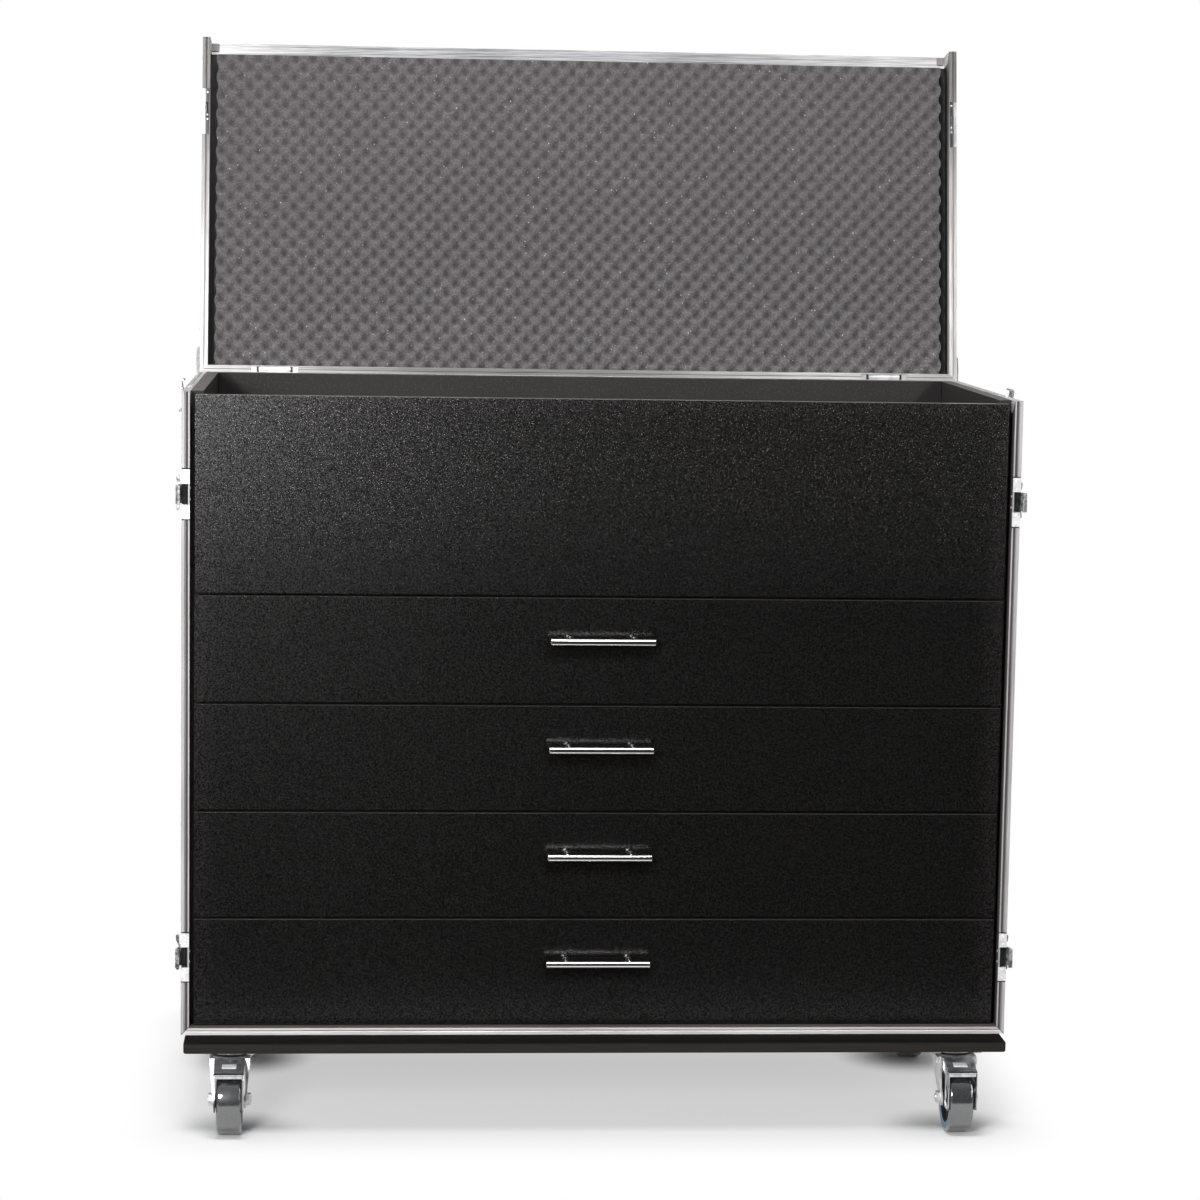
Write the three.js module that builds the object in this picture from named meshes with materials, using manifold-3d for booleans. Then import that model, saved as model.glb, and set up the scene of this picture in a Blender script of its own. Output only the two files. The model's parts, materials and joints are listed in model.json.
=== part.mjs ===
// Road case with a hinged lid over a top compartment and four drawers below it, on swivel casters.
// Millimetres. X runs across the front, Y from the front to the back, Z up from the floor.
// While the pieces are made, x = 0 is the middle of the case and y = 0 the front face of its edging.

import * as THREE from 'three';
import { mergeVertices } from 'three/addons/utils/BufferGeometryUtils.js';
import Module from 'manifold-3d';

const wasm = await Module();
wasm.setup();

// Driving dimensions of the case
const caseWidth = 1200;
const bodyDepth = 535;
const bodyHeight = 928;
const lidHeight = 60;
const lidLength = 531;
const lidOpenAngle = THREE.MathUtils.degToRad(99.5);
const casterHeight = 125;

// Panels and clearances
const plyThickness = 9;
const carcassThickness = 18;
const frontThickness = 18;
const boardThickness = 15;
const shelfThickness = 12;
const fit = 0.3;
const lidSlack = 0.15;
const overrun = 5;
const joinSink = 0.4;

// Edging
const edgeWall = 1.5;
const edgeFace = 2.4;
const edgeLeg = 22;
const innerLeg = 18;
const grooveWidth = 3.4;
const grooveDepth = 0.9;
const grooveSlope = 0.5;
const tongueWidth = 2.4;
const tongueHeight = 0.7;
const slitWidth = 0.8;
const cornerInset = 22;
const cornerRadius = 29;

// Fronts and drawers
const drawerCount = 4;
const drawerPitch = 156.5;
const frontGap = 3;
const frontRecess = 10;
const sideReveal = 6;
const bottomReveal = 2;
const rimDrop = 5;
const boxWall = 12;
const boxHeight = 118;
const boxRise = 14;
const boxBottom = 6;
const boxBottomRise = 8;
const boxBackRoom = 26;

// Runners
const railHeight = 45;
const railDepth = 12.7;
const railWall = 1.5;
const railLip = 6;
const sliderGap = 0.5;
const sliderWall = 2;
const sliderWeb = 18;

// Drawer handles
const handleLength = 150;
const handlePostSpacing = 92;
const handleStandoff = 32;
const handleDrop = 59;
const handleBarRadius = 5;
const handlePostRadius = 4;

// Base board
const boardOverhang = 50;
const boardSideInset = 6;
const boardEdgeRadius = 1.5;
const boardCornerRadius = 3;

// Lid
const partingGap = 0.5;
const hingePinDrop = 3;
const hingePinOut = 1.5;
const foamThickness = 25;
const foamSideRoom = 20;
const foamRearRoom = 12;
const foamFrontRoom = 21;

// Hinges
const hingeInset = 117;
const hingeWidth = 73;
const hingeLeafHeight = 34;
const hingeLeafWall = 1.5;
const hingeKnuckleRadius = 3;
const hingeKnuckleShare = 0.3;
const hingeBarLength = 51;
const hingeBarRadius = 3.3;
const hingeTrayDepth = 1.6;

// Butterfly latches, each in its own frame: x outward, y to the parting face, z along the edge
const latchUpperDrop = 145.5;
const latchLowerRise = 114.5;
const lidLatchInset = 118;
const latchLength = 72;
const latchDepth = 58;
const latchPlate = 1.2;
const latchPanDepth = 10;
const latchPanLength = 58;
const latchPanFront = 8;
const latchPanBack = 54;
const latchMouthLength = 30;
const clawWidth = 27;
const clawWall = 2.2;
const clawPivotIn = 5;
const clawPivotBack = 14;
const clawPivotRadius = 2.6;
const clawReach = 12;
const clawOut = 1.2;
const clawTip = 3.5;
const clawTipDrop = 2.5;
const clawReleaseAngle = THREE.MathUtils.degToRad(12);
const wingAxisBack = 34;
const wingSpan = 52;
const wingOut = 9;
const wingUnder = 4;
const wingWaistOut = 2.5;
const wingWaistShare = 0.3;
const wingRootShare = 0.4;
const wingThickness = 2.6;
const wingHubRadius = 9;
const wingHubThickness = 2;
const wingSpindleRadius = 4;

// Catch dishes in the lid, in the same frame with y away from the parting face
const catchLength = 72;
const catchDepth = 36;
const catchPanLength = 46;
const catchPanBack = 31;
const catchLipHeight = 8;
const catchLipIn = 5;
const catchSlotLength = 29;

// Recessed side handles, in a frame with x outward and z up
const gripRise = 500;
const dishWidth = 150;
const dishHeight = 118;
const dishPlate = 1.2;
const dishPanWidth = 130;
const dishPanHeight = 98;
const dishPanDepth = 14;
const bailRadius = 3.5;
const bailSpacing = 104;
const bailPivotRise = 36;
const bailPivotIn = 7;
const bailDrop = 58;
const gripLength = 90;
const gripHeight = 22;
const gripThickness = 11.5;
const gripFlat = 1;
const earWidth = 5;
const earRadius = 6;
const earGap = 0.4;

// Casters, each in its own frame with its swivel axis at x = y = 0 and the floor at z = 0
const casterSideInset = 71;
const casterFrontInset = 72;
const casterRearInset = 85;
const plateLength = 105;
const plateWidth = 86;
const plateThickness = 3;
const plateCornerRadius = 8;
const boltSpacingLength = 80;
const boltSpacingWidth = 60;
const boltHeadRadius = 6.5;
const boltHeadHeight = 5;
const raceRadius = 30;
const raceHeight = 12;
const raceNeckRadius = 24;
const kingpinRadius = 6;
const kingpinNutRadius = 11;
const kingpinNutHeight = 6;
const swivelGap = 0.5;
const crownRadius = 32;
const crownThickness = 3.5;
const wheelOffset = 38;
const wheelRadius = 50;
const treadWidth = 36;
const shoulderRadius = 4;
const tyreDepth = 13;
const rimDepth = 5;
const rimInset = 2;
const webThickness = 14;
const hubRadius = 13;
const axleRadius = 5;
const axleClearance = 0.5;
const hubClearance = 0.4;
const forkWall = 3;
const forkInnerWidth = 40;
const forkFlare = 6.5;
const forkFootRadius = 13;
const forkTopFront = 34;
const forkTopBack = 26;
const forkFlangeDepth = 4;
const forkFlangeClearance = 0.7;
const axleHeadRadius = 8.5;
const axleHeadHeight = 6.5;

// Brake pedals
const pedalWall = 2;
const pedalPlate = 2.5;
const pedalInnerWidth = 38.6;
const pedalPivotForward = 30;
const pedalPivotHeight = 100;
const pedalPivotRadius = 3;
const pedalBossRadius = 5.5;
const pedalBackForward = 36;
const pedalBackHeight = 110;
const pedalTipForward = 88;
const pedalTipHeight = 98.5;
const pedalLip = 7.5;
const pedalArmBottom = 42;
const pedalArmBackForward = 63;
const pedalArmNeckHeight = 86;
const pedalHoleWidth = 21;
const pedalHoleLength = 16;
const pedalHoleForward = 64;

// Roundness
const arcSteps = 4;
const rodSides = 10;
const hexSides = 6;
const roundSides = 18;
const wheelSides = 20;
const cornerSides = 12;
const flatness = 0.002;
const cornerPower = 5;

// Places worked out from the sizes
const halfWidth = caseWidth / 2;
const bodyBottom = casterHeight + boardThickness;
const rimTop = bodyBottom + bodyHeight;
const edgeWidth = plyThickness + 2 * edgeWall;
const plyOuter = halfWidth - edgeWall;
const plyInner = plyOuter - plyThickness;
const plyEdge = edgeFace + fit;
const rearPlyOuter = bodyDepth - edgeWall;
const rearPlyInner = rearPlyOuter - plyThickness;
const floorBottom = bodyBottom + edgeWall;
const floorTop = floorBottom + plyThickness;
const carcassOuter = halfWidth - edgeWidth - fit;
const carcassInner = carcassOuter - carcassThickness;
const carcassBackOuter = bodyDepth - edgeWidth - fit;
const carcassBackInner = carcassBackOuter - carcassThickness;
const frontFace = frontRecess;
const frontBack = frontRecess + frontThickness;
const carcassFront = frontBack + fit;
const frontHalfWidth = halfWidth - edgeWidth - sideReveal;
const drawerBottom = bodyBottom + edgeWidth + bottomReveal;
const panelBottom = drawerBottom + drawerCount * drawerPitch;
const panelTop = rimTop - rimDrop;
const drawerFrontHeight = drawerPitch - frontGap;
const boxEnd = carcassBackInner - boxBackRoom;
const boxHalfWidth = carcassInner - railDepth - fit;
const pinY = bodyDepth + hingePinOut;
const pinZ = rimTop - hingePinDrop;
const hingeX = halfWidth - hingeInset;
const lidRim = hingePinDrop + partingGap;
const lidTop = lidRim + lidHeight;
const lidRear = -hingePinOut;
const lidFront = lidRear - lidLength;
const axleHeight = wheelRadius;
const reach = 2 * (caseWidth + bodyDepth + bodyHeight);

const X = new THREE.Vector3(1, 0, 0);
const Y = new THREE.Vector3(0, 1, 0);
const Z = new THREE.Vector3(0, 0, 1);

// Finishes
function finish(color, roughness, metalness) {
  return new THREE.MeshStandardMaterial({ color, roughness, metalness });
}
const blackPly = finish(0x1c1b1a, 0.6, 0);
const aluminium = finish(0xc9cacc, 0.3, 1);
const zinc = finish(0xb4b7ba, 0.35, 1);
const stainless = finish(0xc4c6c8, 0.25, 1);
const foamGrey = finish(0x6a686a, 1, 0);
const tyreRubber = finish(0x566673, 0.7, 0);
const gripBlack = finish(0x1a1a1a, 0.6, 0.3);

// Solids: geometry in, geometry out
function solidOf(form) {
  const bare = form.clone();
  bare.deleteAttribute('normal');
  bare.deleteAttribute('uv');
  const merged = mergeVertices(bare);
  const index = merged.index.array;
  const triangles = [];
  for (let i = 0; i < index.length; i += 3) {
    const [a, b, c] = [index[i], index[i + 1], index[i + 2]];
    if (a !== b && b !== c && c !== a) triangles.push(a, b, c);
  }
  const mesh = new wasm.Mesh({
    numProp: 3,
    vertProperties: new Float32Array(merged.attributes.position.array),
    triVerts: new Uint32Array(triangles),
  });
  return new wasm.Manifold(mesh);
}

// Facets that lie in one plane are merged
function geometryOf(solid) {
  const mesh = solid.asOriginal().simplify(flatness).getMesh();
  const form = new THREE.BufferGeometry();
  form.setAttribute('position', new THREE.BufferAttribute(mesh.vertProperties, 3));
  form.setIndex(new THREE.BufferAttribute(mesh.triVerts, 1));
  return form;
}

function join(...forms) {
  return geometryOf(forms.map(solidOf).reduce((a, b) => a.add(b)));
}

function cut(form, ...tools) {
  return geometryOf(tools.map(solidOf).reduce((a, b) => a.subtract(b), solidOf(form)));
}

function placed(form, holder) {
  holder.updateMatrixWorld();
  return form.clone().applyMatrix4(holder.matrixWorld);
}

// The same form on the other side of the case's middle plane
function mirrored(form) {
  const other = form.clone();
  other.scale(-1, 1, 1);
  const index = other.index.array;
  for (let i = 0; i < index.length; i += 3) [index[i], index[i + 1]] = [index[i + 1], index[i]];
  return other;
}

function block([x0, x1], [y0, y1], [z0, z1]) {
  const form = new THREE.BoxGeometry(x1 - x0, y1 - y0, z1 - z0);
  return form.translate((x0 + x1) / 2, (y0 + y1) / 2, (z0 + z1) / 2);
}

function around(middle, size) {
  return [middle - size / 2, middle + size / 2];
}

// An outline's u and v run along two directions, and its length along u x v
function extruded(shape, u, v, start, length) {
  const options = { depth: length, bevelEnabled: false, curveSegments: arcSteps };
  const form = new THREE.ExtrudeGeometry(shape, options);
  const basis = new THREE.Matrix4().makeBasis(u, v, u.clone().cross(v)).setPosition(start);
  return form.applyMatrix4(basis);
}

function alongX(shape, from, to) {
  return extruded(shape, Y, Z, new THREE.Vector3(from, 0, 0), to - from);
}

function alongY(shape, from, to) {
  return extruded(shape, X, Z, new THREE.Vector3(0, to, 0), to - from);
}

function alongZ(shape, from, to) {
  return extruded(shape, X, Y, new THREE.Vector3(0, 0, from), to - from);
}

function outline(points) {
  return new THREE.Shape(points.map(([u, v]) => new THREE.Vector2(u, v)));
}

function roundedRectangle(width, height, radius) {
  const [a, b] = [width / 2 - radius, height / 2 - radius];
  const shape = new THREE.Shape();
  shape.absarc(a, -b, radius, -Math.PI / 2, 0);
  shape.absarc(a, b, radius, 0, Math.PI / 2);
  shape.absarc(-a, b, radius, Math.PI / 2, Math.PI);
  shape.absarc(-a, -b, radius, Math.PI, 1.5 * Math.PI);
  return shape;
}

function rod(direction, radius, [x, y, z], length, sides = rodSides) {
  const form = new THREE.CylinderGeometry(radius, radius, length, sides);
  form.applyQuaternion(new THREE.Quaternion().setFromUnitVectors(Y, direction));
  return form.translate(x, y, z);
}

// A profile swept round a flat path of outer corners, mitred at each of them. The profile's u points
// inward and its v along depth. lean slopes an end so that it can meet another length at 45 degrees.
function mitred(profile, corners, depth, lean = [0, 0]) {
  const ccw = THREE.ShapeUtils.area(profile.map(([u, v]) => new THREE.Vector2(u, v))) > 0;
  const points = ccw ? profile : [...profile].reverse();
  const directions = corners.slice(1).map((corner, i) => corner.clone().sub(corners[i]).normalize());
  const inwards = directions.map((direction) => depth.clone().cross(direction));
  const positions = [];
  corners.forEach((corner, i) => {
    const inward = inwards[Math.max(i - 1, 0)].clone();
    if (i > 0 && i < inwards.length) inward.add(inwards[i]);
    const down = depth.clone();
    if (i === 0) down.addScaledVector(directions[0], lean[0]);
    if (i === inwards.length) down.addScaledVector(directions[i - 1], -lean[1]);
    for (const [u, v] of points) {
      const point = corner.clone().addScaledVector(inward, u).addScaledVector(down, v);
      positions.push(point.x, point.y, point.z);
    }
  });
  const count = points.length;
  const index = [];
  for (let ring = 0; ring < directions.length; ring++) {
    for (let i = 0; i < count; i++) {
      const a = ring * count + i;
      const b = ring * count + ((i + 1) % count);
      index.push(a, b, b + count, a, b + count, a + count);
    }
  }
  const cap = THREE.ShapeUtils.triangulateShape(points.map(([u, v]) => new THREE.Vector2(u, v)), []);
  const last = directions.length * count;
  for (const [a, b, c] of cap) index.push(a, c, b, last + a, last + b, last + c);
  const form = new THREE.BufferGeometry();
  form.setAttribute('position', new THREE.Float32BufferAttribute(positions, 3));
  form.setIndex(index);
  return form;
}

// A rounded cube that bulges over a corner of the case
function ballCorner(x, y, z) {
  const form = new THREE.SphereGeometry(1, cornerSides, cornerSides / 2);
  const position = form.attributes.position;
  const point = new THREE.Vector3();
  for (let i = 0; i < position.count; i++) {
    point.fromBufferAttribute(position, i);
    const sum = point.toArray().reduce((total, part) => total + Math.abs(part) ** cornerPower, 0);
    point.multiplyScalar(cornerRadius / sum ** (1 / cornerPower));
    position.setXYZ(i, point.x, point.y, point.z);
  }
  return form.translate(x, y, z);
}

function piece(name, form, material, home) {
  const flat = form.index ? form.toNonIndexed() : form.clone();
  flat.computeVertexNormals();
  const mesh = new THREE.Mesh(flat, material);
  mesh.name = name;
  home.add(mesh);
  return mesh;
}

// Aluminium edging
function channel(relief, width) {
  const [from, to] = around(edgeWidth / 2, width);
  return [
    [0, 0],
    [from, 0],
    [from + grooveSlope, relief],
    [to - grooveSlope, relief],
    [to, 0],
    [edgeWidth, 0],
    [edgeWidth, innerLeg],
    [edgeWidth - edgeWall, innerLeg],
    [edgeWidth - edgeWall, edgeFace],
    [edgeWall, edgeFace],
    [edgeWall, edgeLeg],
    [0, edgeLeg],
  ];
}

const grooved = channel(grooveDepth, grooveWidth);
const tongued = channel(-tongueHeight, tongueWidth);
const angle = [
  [0, 0],
  [edgeLeg, 0],
  [edgeLeg, edgeWall],
  [edgeWall, edgeWall],
  [edgeWall, edgeLeg],
  [0, edgeLeg],
];

// Slits where a dish interrupts the edging; the inner leg runs on behind it
function edgeSlits(length) {
  const slitEnds = [-edgeWidth + 2 * edgeWall, overrun];
  const slit = (middle) => block(slitEnds, [-latchDepth, overrun], around(middle, slitWidth));
  const middle = (length + slitWidth) / 2;
  return join(slit(-middle), slit(middle));
}

// Places of the six latches and two catches. Those of the lid stand back from where body and lid both begin.
function holderAt(x, y, z, edgeTurn, sideTurn) {
  const holder = new THREE.Group();
  holder.position.set(x, y, z);
  holder.rotation.set(edgeTurn, 0, sideTurn, 'ZYX');
  return holder;
}

const upperLatchZ = rimTop - latchUpperDrop;
const lowerLatchZ = bodyBottom + latchLowerRise;
const lidLatchY = Math.max(pinY + lidFront, 0) + lidLatchInset;
const latchHolders = {
  upper_left: holderAt(-halfWidth, 0, upperLatchZ, 0, Math.PI),
  upper_right: holderAt(halfWidth, 0, upperLatchZ, Math.PI, 0),
  lower_left: holderAt(-halfWidth, 0, lowerLatchZ, 0, Math.PI),
  lower_right: holderAt(halfWidth, 0, lowerLatchZ, Math.PI, 0),
  lid_left: holderAt(-halfWidth, lidLatchY, rimTop, Math.PI / 2, Math.PI),
  lid_right: holderAt(halfWidth, lidLatchY, rimTop, Math.PI / 2, 0),
};
const frontLatches = ['upper_left', 'upper_right', 'lower_left', 'lower_right'];
const lidLatches = ['lid_left', 'lid_right'];

// The latch dish: a pressed tray, with a mouth in the edging through which the claw comes out
function latchShell() {
  const plate = block([-latchPlate, 0], [-latchDepth, 0], around(0, latchLength));
  const pan = block([-latchPanDepth, 0], [-latchPanBack - latchPlate, latchPlate - latchPanFront],
    around(0, latchPanLength + 2 * latchPlate));
  const throat = block([-latchPanDepth, 0], [-latchPanFront - latchPlate, 0],
    around(0, latchMouthLength + 2 * latchPlate));
  const flange = block([-edgeWidth, 0], [-edgeFace, 0], around(0, latchLength));
  const ears = [-1, 1].map((side) => block([-latchPanDepth + latchPlate, clawPivotRadius - clawPivotIn],
    around(-clawPivotBack, 2 * clawPivotRadius),
    around(side * (clawWidth / 2 + fit + latchPlate / 2), latchPlate)));
  const pin = rod(Z, clawPivotRadius / 2, [-clawPivotIn, -clawPivotBack, 0], clawWidth + 2 * latchPlate);
  return { body: join(plate, pan, throat, flange), inside: join(...ears, pin) };
}

function latchVoid() {
  const floor = latchPlate - latchPanDepth;
  const pan = block([floor, overrun], [-latchPanBack, -latchPanFront], around(0, latchPanLength));
  const mouth = block([floor, overrun], [-latchPanFront - overrun, overrun], around(0, latchMouthLength));
  return join(pan, mouth);
}

function latchSeat() {
  const pan = block([-latchPanDepth - fit, overrun], [-latchPanBack - latchPlate - fit, overrun],
    around(0, latchPanLength + 2 * latchPlate + 2 * fit));
  return pan;
}

function withLatchDishes(frame, holders) {
  const { body, inside } = latchShell();
  for (const holder of holders) {
    frame = cut(frame, placed(edgeSlits(latchLength), holder));
    frame = join(frame, placed(body, holder));
    frame = cut(frame, placed(latchVoid(), holder));
    frame = join(frame, placed(inside, holder));
  }
  return frame;
}

// Butterfly wing on its spindle, turned by hand about x
function latchWing() {
  const half = wingSpan / 2;
  const lobe = (wingOut - wingUnder) / 2;
  const end = half - lobe;
  const waist = half * wingWaistShare;
  const root = half * wingRootShare;
  const shape = new THREE.Shape();
  shape.moveTo(root, -latchPlate);
  shape.lineTo(root, wingUnder);
  shape.absarc(end, wingUnder + lobe, lobe, -Math.PI / 2, Math.PI / 2);
  shape.quadraticCurveTo(waist, wingOut, 0, wingWaistOut);
  shape.quadraticCurveTo(-waist, wingOut, -end, wingOut);
  shape.absarc(-end, wingUnder + lobe, lobe, Math.PI / 2, 1.5 * Math.PI);
  shape.lineTo(-root, wingUnder);
  shape.lineTo(-root, -latchPlate);
  const start = new THREE.Vector3(0, wingThickness / 2, 0);
  const wing = extruded(shape, Z.clone().negate(), X, start, wingThickness);
  const hubMiddle = [-latchPlate - wingHubThickness / 2, 0, 0];
  const hub = rod(X, wingHubRadius, hubMiddle, wingHubThickness + 2 * joinSink);
  const spindleLength = latchPanDepth - 2 * latchPlate;
  const spindleMiddle = latchPlate - latchPanDepth + fit + spindleLength / 2;
  const spindle = rod(X, wingSpindleRadius, [spindleMiddle, 0, 0], spindleLength);
  return join(wing, hub, spindle);
}

// Claw strap in its locked place, with its pivot at the frame's origin
function latchClaw() {
  const out = clawPivotIn + clawOut;
  const lift = clawPivotBack;
  const strap = outline([
    [-clawWall / 2, 0],
    [clawWall / 2, 0],
    [out + clawWall, lift - clawReach / 2],
    [out + clawWall, lift + clawReach - clawWall],
    [out, lift + clawReach],
    [clawPivotIn - clawTip, lift + clawReach],
    [clawPivotIn - clawTip, lift + clawReach - clawTipDrop],
    [out - clawWall / 2, lift + clawReach - clawTipDrop],
    [out, lift + clawReach - clawTipDrop - clawWall / 2],
    [out, lift - clawReach / 2 + clawWall],
    [0, clawWall],
  ]);
  const body = alongZ(strap, -clawWidth / 2, clawWidth / 2);
  const barrel = rod(Z, clawPivotRadius, [0, 0, 0], clawWidth);
  const bore = rod(Z, clawPivotRadius / 2 + fit, [0, 0, 0], clawWidth + overrun);
  return cut(join(body, barrel), bore);
}

// Catch dish in the lid: a pan open to the claw, with a lip at its edge
function catchDish() {
  const wall = latchPlate;
  const plate = block([-wall, 0], [0, catchDepth], around(0, catchLength));
  const pan = block([-latchPanDepth, 0], [0, catchPanBack + wall], around(0, catchPanLength + 2 * wall));
  const flange = block([-edgeWidth + edgeWall + fit, 0], [0, edgeFace], around(0, catchLength));
  const floor = wall - latchPanDepth;
  const hollow = block([floor, overrun], [catchLipHeight, catchPanBack], around(0, catchPanLength));
  const slot = block([floor, -catchLipIn], [-overrun, catchLipHeight + overrun], around(0, catchSlotLength));
  return cut(join(plate, pan, flange), hollow, slot);
}

function catchSeat() {
  const outer = latchPanDepth + fit;
  const pan = block([-outer, overrun], [-overrun, catchPanBack + latchPlate + fit],
    around(0, catchPanLength + 2 * latchPlate + 2 * fit));
  const along = around(0, catchLength + 2 * fit);
  const plate = block([-edgeWall - fit, overrun], [-overrun, catchDepth + fit], along);
  const flange = block([-edgeWidth + edgeWall, overrun], [-overrun, edgeFace + fit], along);
  return join(pan, plate, flange);
}

// Recessed handle dish and its bail
function handleDish() {
  const plate = block([-dishPlate, 0], around(0, dishWidth), around(0, dishHeight));
  const pan = block([-dishPanDepth - dishPlate, 0], around(0, dishPanWidth + 2 * dishPlate),
    around(0, dishPanHeight + 2 * dishPlate));
  const hollow = block([-dishPanDepth, overrun], around(0, dishPanWidth), around(0, dishPanHeight));
  const earY = (bailSpacing + 2 * bailRadius + earWidth) / 2 + earGap;
  const ears = [-1, 1].map((side) => {
    const round = rod(Y, earRadius, [-bailPivotIn, side * earY, bailPivotRise], earWidth);
    const foot = block([-dishPanDepth - dishPlate, -bailPivotIn], around(side * earY, earWidth),
      around(bailPivotRise, 2 * earRadius));
    const bore = rod(Y, bailRadius + earGap, [-bailPivotIn, side * earY, bailPivotRise], earWidth + overrun);
    return cut(join(round, foot), bore);
  });
  return join(cut(join(plate, pan), hollow), ...ears);
}

function handleSeat() {
  return block([-dishPanDepth - dishPlate - fit, overrun], around(0, dishPanWidth + 2 * dishPlate + 2 * fit),
    around(0, dishPanHeight + 2 * dishPlate + 2 * fit));
}

// The bail hangs from the frame's origin
function sideGrip() {
  const stub = earWidth + bailRadius + earGap;
  const arms = [-1, 1].map((side) => {
    const arm = rod(Z, bailRadius, [0, side * bailSpacing / 2, -bailDrop / 2], bailDrop);
    const end = rod(Y, bailRadius, [0, side * (bailSpacing + stub) / 2, 0], stub + bailRadius);
    return join(arm, end);
  });
  const cross = rod(Y, bailRadius, [0, 0, -bailDrop], bailSpacing + bailRadius);
  const section = roundedRectangle(gripThickness, gripHeight, (gripThickness - gripFlat) / 2);
  const grip = alongY(section, -gripLength / 2, gripLength / 2).translate(0, 0, -bailDrop);
  return join(...arms, cross, grip);
}

// Shell walls and edging of the body
function sideWall(side) {
  const height = [floorTop + fit, rimTop - plyEdge];
  const wall = block([plyInner, plyOuter], [plyEdge, rearPlyInner - fit], height);
  const right = side > 0;
  const seats = Object.entries(latchHolders)
    .filter(([name]) => name.endsWith('right') === right)
    .map(([, holder]) => placed(latchSeat(), holder));
  const grip = placed(handleSeat(), gripHolder(side));
  return cut(right ? wall : mirrored(wall), ...seats, grip);
}

function gripHolder(side) {
  return holderAt(side * halfWidth, bodyDepth / 2, bodyBottom + gripRise, 0, side > 0 ? 0 : Math.PI);
}

function rearWall() {
  return block([-plyOuter, plyOuter], [rearPlyInner, rearPlyOuter], [floorTop + fit, rimTop - plyEdge]);
}

const mitreGap = fit / 2;

function frontEdgeFrame() {
  const corner = (x, z) => new THREE.Vector3(x, 0, z);
  const path = [
    corner(halfWidth, rimTop - mitreGap),
    corner(halfWidth, bodyBottom),
    corner(-halfWidth, bodyBottom),
    corner(-halfWidth, rimTop - mitreGap),
  ];
  const frame = mitred(grooved, path, Y, [1, 1]);
  return withLatchDishes(frame, frontLatches.map((name) => latchHolders[name]));
}

function rimEdgeFrame() {
  const corner = (x, y) => new THREE.Vector3(x, y, rimTop);
  const path = [
    corner(-halfWidth, mitreGap),
    corner(-halfWidth, bodyDepth),
    corner(halfWidth, bodyDepth),
    corner(halfWidth, mitreGap),
  ];
  let frame = mitred(grooved, path, Z.clone().negate(), [1, 1]);
  frame = withLatchDishes(frame, lidLatches.map((name) => latchHolders[name]));
  const notches = [-1, 1].map((side) => block(around(side * hingeX, hingeWidth + 2 * fit),
    [rearPlyOuter - fit, bodyDepth + overrun], [rimTop - edgeLeg - overrun, rimTop + overrun]));
  return cut(frame, ...notches);
}

function rearEdgeFrame() {
  const start = edgeLeg + fit;
  const corner = (x, y) => new THREE.Vector3(x, y, bodyBottom);
  const path = [
    corner(halfWidth, start),
    corner(halfWidth, bodyDepth),
    corner(-halfWidth, bodyDepth),
    corner(-halfWidth, start),
  ];
  const bottom = mitred(angle, path, Z);
  const post = (x, depth) => {
    const foot = new THREE.Vector3(x, bodyDepth, bodyBottom);
    const head = new THREE.Vector3(x, bodyDepth, rimTop - edgeLeg - fit);
    return mitred(angle, [foot, head], depth);
  };
  const posts = [post(halfWidth, Y.clone().negate()), post(-halfWidth, X)];
  const inset = halfWidth - joinSink;
  const core = block([-inset, inset], [0, bodyDepth - joinSink], [bodyBottom - reach, rimTop]);
  const under = block([-reach, reach], [0, reach], [bodyBottom - reach, bodyBottom]);
  const corners = [-1, 1].map((side) => ballCorner(side * (halfWidth - cornerInset), bodyDepth - cornerInset,
    bodyBottom + cornerInset));
  return join(bottom, ...posts, ...corners.map((form) => cut(form, core, under)));
}

// Base board with the floor panel laminated on it
function baseBoard() {
  const width = caseWidth - 2 * boardSideInset;
  const depth = boardOverhang + bodyDepth;
  const bevelRoom = 2 * boardEdgeRadius;
  const shape = roundedRectangle(width - bevelRoom, depth - bevelRoom, boardCornerRadius);
  const board = new THREE.ExtrudeGeometry(shape, {
    depth: boardThickness - bevelRoom,
    bevelThickness: boardEdgeRadius,
    bevelSize: boardEdgeRadius,
    bevelSegments: 1,
    curveSegments: arcSteps,
  });
  board.translate(0, depth / 2 - boardOverhang, casterHeight + boardEdgeRadius);
  const rebate = edgeLeg + fit;
  const lower = block([rebate - halfWidth, halfWidth - rebate], [rebate, bodyDepth - rebate],
    [bodyBottom - joinSink, floorBottom + fit]);
  const upper = block([fit - plyOuter, plyOuter - fit], [plyEdge, rearPlyOuter - fit],
    [floorBottom + fit, floorTop]);
  return join(board, lower, upper);
}

// Inner carcass
function runnerRail() {
  const half = railHeight / 2;
  const mouth = railDepth - railWall;
  return outline([
    [0, -half],
    [railDepth, -half],
    [railDepth, railLip - half],
    [mouth, railLip - half],
    [mouth, railWall - half],
    [railWall, railWall - half],
    [railWall, half - railWall],
    [mouth, half - railWall],
    [mouth, half - railLip],
    [railDepth, half - railLip],
    [railDepth, half],
    [0, half],
  ]);
}

function railHeightOf(drawer) {
  return drawerBottomOf(drawer) + boxRise + boxHeight / 2;
}

function drawerBottomOf(drawer) {
  return drawerBottom + (drawerCount - drawer) * drawerPitch;
}

function drawerNumbers() {
  return Array.from({ length: drawerCount }, (_, i) => i + 1);
}

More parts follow.
